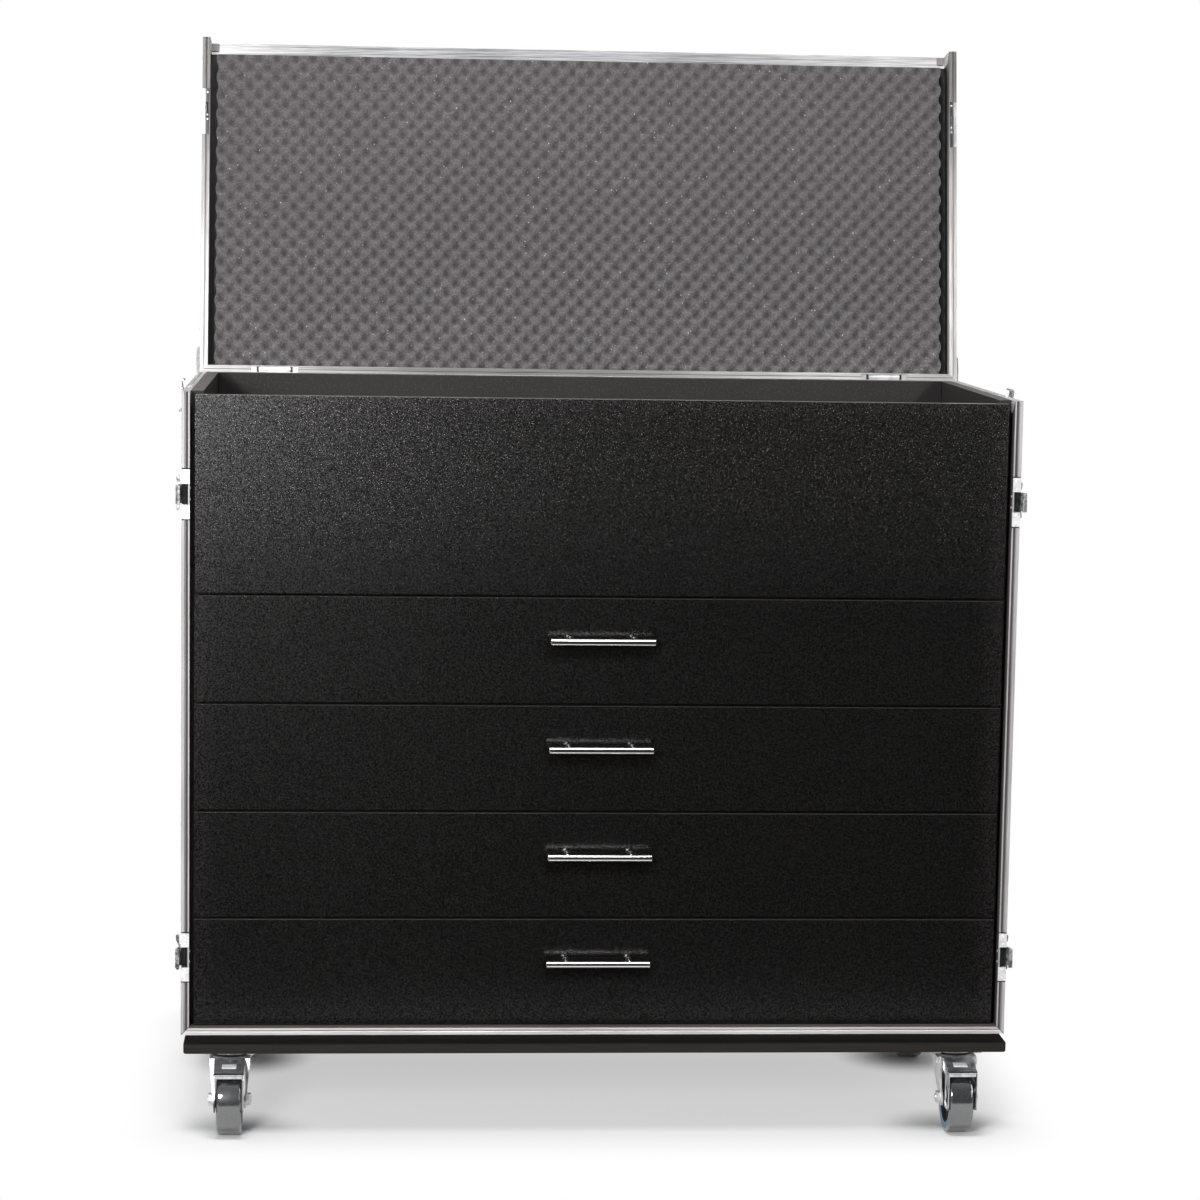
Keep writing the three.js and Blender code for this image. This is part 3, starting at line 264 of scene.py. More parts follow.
def carcass_paint(finish):
    """The same coating, thinner and duller, lighter on its upward faces, with painted shade in the back's
    corners.
    """
    place = finish.place()
    x, y, z = finish.parts(place)
    low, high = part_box("carcass_back")
    down = (high.z - z).smaller(CORNER_SHADE)
    # Painted shade: a soft shadow in each of the back's two corners, widening downwards.
    from_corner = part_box("carcass_side_right")[0].x - abs(x) - down * 0.85
    corner = (1 - from_corner.between(-4 * MM, 9 * MM)) * (y - low.y).near(0.5, 1.5)
    grain = finish.noise(place, 330, 4, 0.75)
    patches = finish.noise(place, 6, 4, 0.6)
    upward = finish.normal()[2].between(0.4, 0.9)
    skin = finish.blend((0.019, 0.0168, 0.0162), (0.034, 0.0305, 0.0295), patches)
    speckled = finish.blend(skin, (0.11, 0.097, 0.092), grain.between(0.5, 0.72) * 0.5)
    lightened = finish.blend(speckled, (0.21, 0.19, 0.18), upward * (grain.between(0.38, 0.62) * 0.55 + 0.2))
    return finish.surface(
        Base_Color=finish.blend(lightened, (0.006, 0.005, 0.005), corner * 0.75), Roughness=grain * 0.15 + 0.55,
        Specular_IOR_Level=0.25, Normal=finish.bump(grain, 0.0007, 0.6))


def phenolic_skin(finish):
    """Black film-faced birch ply of the outer shell."""
    place = finish.place()
    fine = finish.noise(place, 1500, 2, 0.5)
    cloudy = finish.noise(place, 5, 4, 0.6)
    return finish.surface(
        Base_Color=finish.blend((0.012, 0.0115, 0.011), (0.02, 0.019, 0.018), cloudy),
        Roughness=cloudy * 0.12 + 0.36, Specular_IOR_Level=0.4, Normal=finish.bump(fine, 0.0002, 0.35))


def streaks(finish, vector, along):
    """Fine lines that run along one axis, as on an extrusion."""
    scale = [1, 1, 1]
    scale[along] = 0.012
    drawn = finish.stretched(vector, scale)
    return finish.noise(drawn, 1400, 3, 0.6) * 0.6 + finish.noise(drawn, 330, 2, 0.5) * 0.4


def drawn_aluminium(finish, vector, members, dark=(0.56, 0.54, 0.54), light=(0.86, 0.84, 0.84), cuts_and_shade=0,
                    painted=0, metallic=1.0):
    """Mill-finish extrusion. members pairs a mask with the axis that its lengths run along.

    Its cut mask marks saw slits and mitres, and painted shade in grooves and slots; painted marks what the
    black paint of the ply covers.
    """
    lines = 0
    for mask, along in members:
        lines = mask * streaks(finish, vector, along) + lines
    cloudy = finish.noise(vector, 4, 3, 0.6)
    tone = lines * 0.75 + cloudy * 0.25
    colour = finish.blend(dark, light, tone.between(0.38, 0.6))
    colour = finish.blend(colour, (0.075, 0.063, 0.054), painted)
    # Near black in saw slits and mitres, and painted shade in grooves and slots.
    colour = finish.blend(colour, (0.008, 0.007, 0.007), cuts_and_shade)
    return finish.surface(
        Base_Color=colour, Metallic=metallic, Roughness=lines * 0.2 + cloudy * 0.1 + 0.5,
        Normal=finish.bump(lines - cuts_and_shade, 0.00015, 0.4))


def front_aluminium(finish):
    """Edging of the open front: grooved along the bottom, and hollowed between two lips up the sides. Its
    grooved line, its hollows and the slots behind its inner lips carry painted shade, and its uprights are
    painted darker than its bottom rail, as shade.
    """
    place = finish.place()
    x, y, z = finish.parts(place)
    from_side, from_bottom = HALF - abs(x), z - BOTTOM
    upright = from_side < from_bottom
    inward = from_side.smaller(from_bottom)
    # Painted shade in the bottom's grooved line and up the hollows of the uprights.
    groove_shade = (inward - GROOVE).near(0.3, 0.8) * (1 - upright) * 0.7
    hollow_shade = inward.between(2.5 * MM, 7.5 * MM) * (1 - inward.between(9.2 * MM, 10.2 * MM)) * upright * 0.94
    mitre = (from_side - from_bottom).near(0.3, 0.9)
    sawn = 0
    for name in ("upper_left", "lower_left"):
        middle = pivot(f"latch_wing_{name}_turn").z
        sawn = (abs(z - middle) - SAW_CUT).near(0.7, 1.3) * upright + sawn
    inner = (inward - upright * 1.4 * MM).between(9.8 * MM, 10.4 * MM)
    # Painted shade in the slots behind the inner lips, darker further back.
    deep_shade = inner * (y - FRONT).between(4 * MM, 20 * MM)
    cuts_and_shade = groove_shade.larger(mitre).larger(sawn).larger(deep_shade)
    # Painted shade: the uprights get darker tones than the bottom rail, and their hollows are painted near
    # black.
    dark = finish.blend((0.62, 0.585, 0.585), (0.4, 0.375, 0.38), upright)
    light = finish.blend((0.9, 0.865, 0.87), (0.62, 0.59, 0.6), upright)
    shaded = (0.03, 0.028, 0.028)
    return drawn_aluminium(
        finish, place, [(upright, 2), (1 - upright, 0)], finish.blend(dark, shaded, hollow_shade),
        finish.blend(light, shaded, hollow_shade), cuts_and_shade, inner,
        (1 - inner.larger(cuts_and_shade)) * (1 - hollow_shade * 0.7) * 0.62)


def rim_aluminium(finish):
    place = finish.place()
    x, y, _ = finish.parts(place)
    side = (HALF - abs(x)) < (REAR - y)
    return drawn_aluminium(
        finish, place, [(side, 1), (1 - side, 0)], (0.4, 0.385, 0.38), (0.8, 0.78, 0.77))


def rear_aluminium(finish):
    place = finish.place()
    x, y, z = finish.parts(place)
    low = (z - BOTTOM) < EDGE_LEG
    side = (HALF - abs(x)) < (REAR - y)
    return drawn_aluminium(finish, place, [(1 - low, 2), (low * side, 1), (low * (1 - side), 0)])


def lid_place(finish):
    """Places in the closed lid, about its hinge pin."""
    shifted = finish.stretched(finish.place(), (1, 1, 1), shift=tuple(-HINGE_PIN))
    return finish.stretched(shifted, (1, 1, 1), turn=(LID_OPEN, 0, 0))


def lid_rim_aluminium(finish):
    """Rim of the lid, with painted highlights that brighten it towards the hinge and towards the ends of its
    rear length, and painted shade along its grooved line.
    """
    place = lid_place(finish)
    x, y, _ = finish.parts(place)
    from_side, from_rear = HALF - abs(x), LID_REAR - y
    side = from_side < from_rear
    # Painted highlights: the side lengths brighten towards the hinge, and the rear length towards its ends.
    near = side * (y - LID_REAR).between(-500 * MM, -110 * MM)
    ends = (1 - side) * abs(x + 80 * MM).between(120 * MM, 480 * MM) * 0.6
    dark = finish.blend((0.15, 0.143, 0.138), (0.48, 0.465, 0.455), near + ends)
    light = finish.blend((0.29, 0.278, 0.27), (0.9, 0.88, 0.87), near + ends)
    # Painted shade along the grooved line.
    groove_shade = (from_side.smaller(from_rear) - GROOVE).near(0.3, 1) * 0.6
    return drawn_aluminium(finish, place, [(side, 1), (1 - side, 0)], dark, light, groove_shade)


def lid_edge_aluminium(finish):
    """Outer edging of the lid, with painted shade that greys the band along its front, most in the middle."""
    place = lid_place(finish)
    x, y, z = finish.parts(place)
    inward = HALF - abs(x)
    upright = (z < (LID_TOP - EDGE_LEG)) * (inward < EDGE_LEG)
    side = (1 - upright) * (inward < (LID_REAR - y).smaller(y - LID_FRONT))
    across = (1 - upright) * (1 - side)
    middle = 1 - abs(x + 60 * MM).between(330 * MM, 520 * MM) * 0.7
    # Painted shade: the band along the front is greyed, most in its middle.
    painted_shade_strip = across * (y < (LID_FRONT + EDGE_LEG)) * middle
    dark = finish.blend((0.42, 0.41, 0.41), (0.16, 0.16, 0.165), painted_shade_strip)
    light = finish.blend((0.84, 0.83, 0.84), (0.5, 0.5, 0.515), painted_shade_strip)
    return drawn_aluminium(finish, place, [(upright, 2), (side, 1), (across, 0)], dark, light)


def zinc(finish, place, roughness, shade_colour=None, shade_mask=0, metallic=0.7):
    """Clear-passivated zinc plate on pressed steel, with painted shade in the given shade colour where the
    shade mask is 1.
    """
    cloudy = finish.noise(place, 60, 4, 0.6)
    colour = finish.blend((0.58, 0.58, 0.59), (0.84, 0.835, 0.84), cloudy.between(0.3, 0.7))
    return finish.surface(
        Base_Color=finish.blend(colour, shade_colour, shade_mask) if shade_colour else colour, Metallic=metallic,
        Roughness=cloudy * 0.2 + roughness, Normal=finish.bump(cloudy, 0.0002, 0.35))


def bright_zinc(finish):
    place = finish.place()
    return zinc(finish, place, finish.cells(place, 260) * 0.06 + 0.26)


def hinge_zinc(finish):
    """Bright plate, with a painted shadow where its ends bend in round the knuckle."""
    place = finish.place()
    x, _, _ = finish.parts(place)
    forward = finish.normal()[1] * -1
    from_slot = abs(abs(x) - (HALF - HINGE_INSET)) - HINGE_SLOT
    # Painted shadow where the plate's ends bend round the knuckle.
    knuckle_shadow = from_slot.near(1.3, 2.6) * forward.between(0.5, 0.8)
    return zinc(finish, place, 0.3, (0.012, 0.011, 0.011), knuckle_shadow, (1 - knuckle_shadow) * 0.7)


def catch_zinc(finish):
    """The same plate, with painted shade down in the catch."""
    place = finish.place()
    x, _, _ = finish.parts(place)
    # Painted shade down in the catch.
    catch_shade = (HALF - abs(x)).between(2.5 * MM, 7 * MM)
    return zinc(finish, place, 0.3, (0.09, 0.09, 0.092), catch_shade)


def mottled(grain, dark, light, fade, rough, relief, **sockets):
    """Makes a finish whose tone, roughness and relief follow one noise. Without light it has one tone."""
    def make(finish):
        cloudy = finish.noise(finish.place(), *grain)
        colour = finish.blend(dark, light, cloudy.between(*fade) if fade else cloudy) if light else dark
        return finish.surface(
            Base_Color=colour, Roughness=cloudy * rough[0] + rough[1],
            Normal=finish.bump(cloudy, *relief), **sockets)
    return make


def brushed_stainless(finish):
    lines = streaks(finish, finish.place(), 0)
    return finish.surface(
        Base_Color=(0.76, 0.75, 0.74), Metallic=1.0, Roughness=lines * 0.1 + 0.07,
        Normal=finish.bump(lines, 0.00006, 0.2))


def open_cell_foam(finish):
    """Dusty grey foam, with painted shade in its wells, and lighter towards the hinge."""
    place = finish.place()
    cells = finish.cells(place, 1100)
    fluff = finish.noise(place, 330, 4, 0.7)
    worn = finish.noise(place, 7, 3, 0.6)
    _, y, depth = finish.parts(lid_place(finish))
    # Painted shade: the deeper wells are painted darker.
    hollow_shade = depth.between(LID_TOP - 31 * MM, LID_TOP - 23 * MM)
    dust, lot = finish.dots(place, 240)
    lightened = (1 - dust.between(0.12, 0.26)) * lot.between(0.965, 0.985)
    toward_hinge = (y - LID_REAR).between(-300 * MM, -20 * MM)
    light = finish.blend((0.15, 0.138, 0.141), (0.215, 0.2, 0.203), worn * 0.5 + toward_hinge * 0.5)
    mottling = finish.blend(light, (0.07, 0.063, 0.066), fluff.between(0.34, 0.62) * 0.75)
    shaded = finish.blend(mottling, (0.055, 0.049, 0.051), hollow_shade * 0.62)
    return finish.surface(
        Base_Color=finish.blend(shaded, (0.8, 0.78, 0.78), lightened), Roughness=0.95, Specular_IOR_Level=0.15,
        Sheen_Weight=0.12, Sheen_Roughness=0.5, Normal=finish.bump(cells * 0.5 + fluff, 0.0012, 0.7))


def tyre_rubber(dark, light, gloss):
    """Makes a slightly wavy rubber, scuffed in its tone, with a glossy skin."""
    def make(finish):
        place = finish.place()
        scuff = finish.noise(place, 110, 3, 0.5)
        wavy = finish.noise(place, 45, 1, 0.4)
        return finish.surface(
            Base_Color=finish.blend(dark, light, scuff.between(0.3, 0.7)), Roughness=scuff * 0.08 + 0.35,
            Coat_Weight=gloss, Coat_Roughness=0.05, Coat_IOR=2.4, Normal=finish.bump(wavy, 0.0012, 0.5))
    return make


def dull_aluminium(finish):
    return drawn_aluminium(finish, finish.place(), [(1, 0)], (0.17, 0.155, 0.15), (0.3, 0.28, 0.27))


def birch_edge(finish):
    """Painted ply edge: the layers show as faint lines under the paint. Upward faces are painted near black
    as shade.
    """
    place = finish.place()
    layers = finish.noise(finish.stretched(place, (0.02, 0.02, 1)), 900, 2, 0.5)
    grain = finish.noise(place, 500, 3, 0.6)
    upward = finish.normal()[2].between(0.4, 0.9)
    edge = finish.blend((0.013, 0.0115, 0.01), (0.03, 0.0265, 0.0235), layers)
    # Painted shade: upward faces are painted near black, as under the case's edging.
    return finish.surface(
        Base_Color=finish.blend(edge, (0.004, 0.0036, 0.0032), upward),
        Roughness=grain * 0.2 + 0.45 + upward * 0.3, Specular_IOR_Level=0.06,
        Normal=finish.bump(layers + grain, 0.0003, 0.5))


PEBBLED = paint("pebbled_black_coating", pebbled_paint)
CARCASS = paint("dull_black_coating", carcass_paint)
SKIN = paint("phenolic_skin", phenolic_skin)
BOARD_PAINT = paint("painted_birch_board", birch_edge)
FOAM = paint("open_cell_foam", open_cell_foam)
ZINC = paint("bright_zinc", bright_zinc)
CATCH_ZINC = paint("catch_zinc", catch_zinc)
HINGE_ZINC = paint("hinge_zinc", hinge_zinc)
# Zinc worn grey where hands and catches rub it
LATCH_ZINC = paint("latch_zinc", mottled(
    (170, 4, 0.65), (0.14, 0.14, 0.145), (0.62, 0.615, 0.62), fade=(0.36, 0.6), rough=(0.2, 0.22),
    relief=(0.0003, 0.4), Metallic=0.7))
# Zinc rubbed bright by the cover that closes against it
BRIGHT_PLATE = paint("bright_plate", mottled(
    (140, 4, 0.6), (0.78, 0.775, 0.78), (0.95, 0.945, 0.95), fade=(0.3, 0.6), rough=(0.2, 0.3),
    relief=(0.0002, 0.3), Metallic=0.45))
CHROME = paint("polished_steel", mottled(
    (90, 3, 0.5), (0.5, 0.51, 0.54), (0.74, 0.75, 0.77), fade=(0.3, 0.7), rough=(0.12, 0.04),
    relief=(0.00015, 0.2), Metallic=1.0))
# A black sheet that stands in for the shade in the latches' mouths.
MOUTH_SHADE = paint("latch_mouth_shade", mottled(
    (200, 3, 0.6), (0.007, 0.0085, 0.008), (0.022, 0.026, 0.024), fade=(0.35, 0.7), rough=(0.2, 0.6),
    relief=(0.0002, 0.4), Specular_IOR_Level=0.1))
PALE_PLASTIC = paint("pale_moulded_plastic", mottled(
    (900, 3, 0.6), (0.8, 0.8, 0.8), (0.9, 0.9, 0.89), fade=None, rough=(0.15, 0.3), relief=(0.0001, 0.2)))
PLASTIC = paint("black_moulded_plastic", mottled(
    (1200, 3, 0.6), (0.013, 0.013, 0.0135), None, fade=None, rough=(0.2, 0.38), relief=(0.0002, 0.3)))
STAINLESS = paint("brushed_stainless", brushed_stainless)
DULL = paint("dull_aluminium", dull_aluminium)
TREAD = paint("grey_tread_rubber", tyre_rubber((0.022, 0.023, 0.027), (0.03, 0.031, 0.034), 1.0))
BLUE_RUBBER = paint("blue_wall_rubber", tyre_rubber((0.05, 0.16, 0.27), (0.07, 0.2, 0.33), 0.3))
FRAME_FINISHES = {
    "front_edge_frame": front_aluminium,
    "rim_edge_frame": rim_aluminium,
    "rear_edge_frame": rear_aluminium,
    "lid_rim_frame": lid_rim_aluminium,
    "lid_edge_frame": lid_edge_aluminium,
}


# Forms
IDENTITY = Matrix.Identity(4)
SIDE_ON = Matrix(((0, 0, 1, 0), (1, 0, 0, 0), (0, 1, 0, 0), (0, 0, 0, 1)))
SQUARE = ((-1, -1), (1, -1), (1, 1), (-1, 1))


def mm(*points):
    """Points given in millimetres."""
    return [tuple(value * MM for value in point) for point in points]


def circle(radius, sides):
    angles = [2 * math.pi * i / sides for i in range(sides)]
    return [(radius * math.cos(angle), radius * math.sin(angle)) for angle in angles]


def below(profile):
    """A profile of (radius, height) upside down, listed the other way about."""
    return [(radius, -height) for radius, height in reversed(profile)]


def tube(rings, sides):
    """Faces of a tube with flat ends, made of rings that run anticlockwise seen from the last one."""
    faces = []
    for a in range(0, (rings - 1) * sides, sides):
        for i in range(sides):
            j = (i + 1) % sides
            faces.append((a + i, a + j, a + sides + j, a + sides + i))
    return faces + [tuple(reversed(range(sides))), tuple(range((rings - 1) * sides, rings * sides))]


def shown(name, data):
    """An object of the scene that shows a mesh, a lamp or a camera."""
    made = bpy.data.objects.new(name, data)
    bpy.context.scene.collection.objects.link(made)
    return made


class Form:
    """A mesh made of several parts, each in one of the piece's finishes."""

    def __init__(self):
        self.mesh = bmesh.new()

    def add(self, points, faces, place=IDENTITY, finish=0):
        corners = [self.mesh.verts.new(place @ Vector(point)) for point in points]
        made = [self.mesh.faces.new([corners[i] for i in face]) for face in faces]
        for face in made:
            face.material_index = finish
        return made

    def turned(self, profile, place, sides, finish=0, loop=False):
        """A profile of (radius, height) turned about Z, listed with its outside on the right."""
        points, faces, rings = [], [], []
        for radius, height in profile:
            count = sides if radius > 1e-7 else 1
            rings.append(range(len(points), len(points) + count))
            points += [(x, y, height) for x, y in circle(radius, count)]
        for low, high in zip(rings, rings[1:] + rings[:1] if loop else rings[1:]):
            for i in range(sides):
                j = (i + 1) % sides
                corners = low[i % len(low)], low[j % len(low)], high[j % len(high)], high[i % len(high)]
                face = list(dict.fromkeys(corners))
                if len(face) > 2:
                    faces.append(face)
        self.add(points, faces, place, finish)

    def slab(self, outline, low, high, place=IDENTITY, finish=0, holes=()):
        """An outline in the place's X-Y plane, anticlockwise, thickened from low to high along Z."""
        loops = [outline, *(hole[::-1] for hole in holes)]
        flat = [point for loop in loops for point in loop]
        count = len(flat)
        points = [(x, y, low) for x, y in flat] + [(x, y, high) for x, y in flat]
        faces = []
        for a, b, c in tessellate_polygon([[Vector((x, y, 0)) for x, y in loop] for loop in loops]):
            (ax, ay), (bx, by), (cx, cy) = flat[a], flat[b], flat[c]
            if (bx - ax) * (cy - ay) - (by - ay) * (cx - ax) < 0:
                b, c = c, b
            faces += [(a, c, b), (a + count, b + count, c + count)]
        start = 0
        for loop in loops:
            size = len(loop)
            for i in range(size):
                a, b = start + i, start + (i + 1) % size
                faces.append((a, b, b + count, a + count))
            start += size
        made = self.add(points, faces, place, finish)
        edges = list({edge for face in made for edge in face.edges})
        corners = list({corner for face in made for corner in face.verts})
        bmesh.ops.dissolve_limit(self.mesh, angle_limit=0.01, verts=corners, edges=edges)

    def block(self, low, high, place=IDENTITY, finish=0):
        (x0, y0, z0), (x1, y1, z1) = low, high
        self.slab([(x0, y0), (x1, y0), (x1, y1), (x0, y1)], z0, z1, place, finish)

    def swept(self, path, radius, sides, place):
        """A round bar along a path, with flat ends."""
        path = [Vector(point) for point in path]
        points = []
        normal = (path[1] - path[0]).orthogonal()
        for before, at, after in zip(path[:1] + path, path, path[1:] + path[-1:]):
            along = (after - before).normalized()
            normal = (normal - along * normal.dot(along)).normalized()
            other = along.cross(normal)
            points += [at + normal * u + other * v for u, v in circle(radius, sides)]
        self.add(points, tube(len(path), sides), place)

    def done(self, name, finishes, body, slot, rounding=0.0, replaces=(), smooth=35):
        mesh = bpy.data.meshes.new(name)
        self.mesh.normal_update()
        self.mesh.to_mesh(mesh)
        self.mesh.free()
        for finish in finishes:
            mesh.materials.append(finish)
        made = shown(name, mesh)
        rounded(made, rounding, smooth)
        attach(made, body)
        if replaces:
            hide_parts(*replaces)
        return made


def rounded(piece, rounding, smooth=35):
    """Rounds a piece's sharp edges, and keeps its flat faces flat to the eye."""
    piece.data.shade_smooth()
    if not rounding:
        piece.data.set_sharp_from_angle(angle=math.radians(smooth))
        return
    bevel = piece.modifiers.new("rounding", "BEVEL")
    bevel.width = rounding
    bevel.segments = 2
    bevel.limit_method = "ANGLE"
    bevel.angle_limit = math.radians(smooth)
    bevel.use_clamp_overlap = True
    flat = piece.modifiers.new("flat_faces", "WEIGHTED_NORMAL")
    flat.mode = "FACE_AREA"
    flat.weight = 100
    flat.keep_sharp = True


def axes(x, y, z, at):
    """A place with axes of its own."""
    return Matrix.Translation(at) @ Matrix((x, y, z)).transposed().to_4x4()


def facing(direction, at, up=Z):
    """A place whose Z axis points in a direction."""
    direction = Vector(direction).normalized()
    side = Vector(up).cross(direction)
    if side.length < 1e-6:
        side = X
    side.normalize()
    return axes(side, direction.cross(side), direction, at)


def arc(x, y, radius, start, end, steps):
    angles = [math.radians(start + (end - start) * i / steps) for i in range(steps + 1)]
    return [(x + radius * math.cos(angle), y + radius * math.sin(angle)) for angle in angles]


def rounded_outline(width, height, radius):
    a, b = width / 2 - radius, height / 2 - radius
    corners = ((a, -b, -90), (a, b, 0), (-a, b, 90), (-a, -b, 180))
    return [point for x, y, start in corners for point in arc(x, y, radius, start, start + 90, 6)]


def hexagon(across):
    return arc(0, 0, across / math.sqrt(3), 0, 300, 5)


def rivets(form, spots, direction, place=IDENTITY, finish=0, radius=3.2 * MM, height=1.1 * MM):
    """Pop rivets at spots of a place, each a dome with the small well that its mandrel leaves."""
    well = radius * 0.34
    profile = [(radius, -0.3 * MM), (radius, 0.15 * height)]
    profile += [(well + (radius - well) * u, (0.15 + 0.85 * v) * height) for u, v in arc(0, 0, 1, 15, 75, 4)]
    profile += [(well, height), (well * 0.9, height * 0.4), (0, height * 0.35)]
    outward = place.to_3x3() @ Vector(direction)
    for spot in spots:
        form.turned(profile, facing(outward, place @ Vector(spot)), 20, finish)


# Finishes of the pieces that keep their own shape
WELD_GAP = 0.02 * MM
SMOOTH_BELOW = 30


def dress(rounding, finish, *nodes):
    for node in nodes:
        piece = frame["nodes"][node]
        piece.data.materials.clear()
        piece.data.materials.append(finish)
        for polygon in piece.data.polygons:
            polygon.material_index = 0
        weld = piece.modifiers.new("weld", "WELD")
        weld.merge_threshold = WELD_GAP
        rounded(piece, rounding, SMOOTH_BELOW)


def dress_panels():
    dress(1.0 * MM, PEBBLED, "front_panel", *(f"drawer_{number}" for number in DRAWERS))
    dress(0.8 * MM, CARCASS, "carcass_side_left", "carcass_side_right", "carcass_back", "compartment_floor")
    dress(0.3 * MM, SKIN, "side_wall_left", "side_wall_right", "rear_wall", "lid_shell")
    dress(0.6 * MM, BOARD_PAINT, "base_board")
    for node, make in FRAME_FINISHES.items():
        dress(0.25 * MM, paint(f"aluminium_of_{node}", make), node)
    for side in SIDES:
        dress(0.25 * MM, ZINC, f"handle_dish_{side}")
        dress(0.25 * MM, HINGE_ZINC, f"hinge_leaf_body_{side}", f"hinge_leaf_lid_{side}")
        dress(0.25 * MM, CATCH_ZINC, f"catch_dish_{side}")


# Lid lining
FOAM_PITCH_X = 28.5 * MM
FOAM_PITCH_Y = 29.6 * MM
FOAM_DEPTH = 12 * MM
FOAM_EDGE_PULL = 4 * MM
FOAM_STEPS = 8


def foam_lining():
    """Egg-crate foam: peaks and wells in staggered rows, cut flat at the edges."""
    inverse = LID.inverted()
    corners = [inverse @ vertex.co for vertex in frame["nodes"]["lid_foam"].data.vertices]
    low = Vector(min(corner[i] for corner in corners) for i in range(3))
    high = Vector(max(corner[i] for corner in corners) for i in range(3))
    across = round((high.x - low.x) / FOAM_PITCH_X * FOAM_STEPS)
    along = round((high.y - low.y) / FOAM_PITCH_Y * FOAM_STEPS)
    points = []
    for j in range(along + 1):
        for i in range(across + 1):
            x = low.x + (high.x - low.x) * i / across
            y = low.y + (high.y - low.y) * j / along
            u = 2 * math.pi * x / FOAM_PITCH_X
            v = 2 * math.pi * (y - low.y) / FOAM_PITCH_Y + math.pi / 2
            well = (1 - math.cos(u) * math.cos(v)) / 2
            edge = 1 - 2 * i / across
            pulled_in = FOAM_EDGE_PULL * well * edge if i in (0, across) else 0
            points.append((x + pulled_in, y, low.z + FOAM_DEPTH * well ** 1.35))
    width = across + 1
    starts = [j * width + i for j in range(along) for i in range(across)]
    faces = [(a, a + width, a + width + 1, a + 1) for a in starts]
    rim = [*range(width), *range(width + across, len(points), width)]
    rim += [*range(len(points) - 2, along * width - 1, -1), *range((along - 1) * width, 0, -width)]
    base = len(points)
    points += [(*points[index][:2], high.z) for index in rim]
    for i, index in enumerate(rim):
        j = (i + 1) % len(rim)
        faces.append((index, rim[j], base + j, base + i))
    faces.append(tuple(range(base, len(points))))
    form = Form()
    form.add(points, faces, LID)
    piece = form.done("foam_lining", [FOAM], "lid", "foam", replaces=["lid_foam"], smooth=60)


# Drawer handles
BAR_RADIUS = 5 * MM
BAR_LENGTH = 150 * MM
BAR_CHAMFER = 0.6 * MM
POST_RADIUS = 4 * MM
POST_SPACING = 92 * MM


def drawer_handle(number):
    """A bar with chamfered ends on two posts, each with a collar at its foot."""
    node = f"drawer_handle_{number}"
    low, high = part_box(node)
    bar_y, bar_z = low.y + BAR_RADIUS, (low.z + high.z) / 2
    form = Form()
    half, face = BAR_LENGTH / 2, BAR_RADIUS - BAR_CHAMFER
    end = [(BAR_RADIUS, half - BAR_CHAMFER), (face, half), (0, half)]
    form.turned(below(end) + end, facing(X, (0, bar_y, bar_z)), 48)
    length = high.y - bar_y
    post = [*mm((0, 0), (4.6, 0), (4.6, 1.4), (4, 2.2)), (POST_RADIUS, length - BAR_RADIUS),
            (POST_RADIUS + 0.5 * MM, length - BAR_RADIUS * 0.8), (0, length)]
    for side in (-1, 1):
        form.turned(post, facing(-Y, (side * POST_SPACING / 2, high.y, bar_z)), 32)
    form.done(f"bar_handle_{number}", [STAINLESS], f"drawer_{number}", "stainless", replaces=[node])


# Latches: the same frame for each of the six, x outward, y to the parting face, z along the edge
LATCH_NAMES = ("upper_left", "upper_right", "lower_left", "lower_right", "lid_left", "lid_right")
WING_BACK = 34 * MM
CLAW_RELEASED = math.radians(12)


def latch_place(name):
    turn, swing = f"latch_wing_{name}_turn", f"latch_claw_{name}_swing"
    outward, along = (Vector(JOINTS[joint]["axis"]) for joint in (turn, swing))
    toward = along.cross(outward)
    return axes(outward, toward, along, pivot(turn) + toward * WING_BACK)


def latch_wing(name):
    """Pressed butterfly: two ears that rise from a round hub."""
    node = f"latch_wing_{name}"
    place = latch_place(name) @ Matrix.Translation((0, -WING_BACK, 0))
    form = Form()
    ear = mm((10.4, -1.2), (11.5, 3.2), (13, 4)) + arc(23.5 * MM, 6.5 * MM, 2.5 * MM, -90, 90, 10)
    ear += mm((18, 8.5), (11, 5.9), (5, 3.2), (0, 2.5))
    outline = ear + [(-u, v) for u, v in reversed(ear[:-1])]
    upright = place @ Matrix(((0, 1, 0, 0), (0, 0, -1, 0), (-1, 0, 0, 0), (0, 0, 0, 1)))
    form.slab(outline, -1.3 * MM, 1.3 * MM, upright)
    hub = mm((0, -8.5), (4, -8.5), (4, -3.8), (9, -3.6), (9, -1.6), (8.2, -0.9), (4.6, -0.8), (4.2, 1),
             (3.2, 1.8), (0, 2))
    form.turned(hub, place @ facing(X, (0, 0, 0)), 40)
    form.done(f"butterfly_{name}", [LATCH_ZINC], node, "zinc_steel", 0.5 * MM, [node])


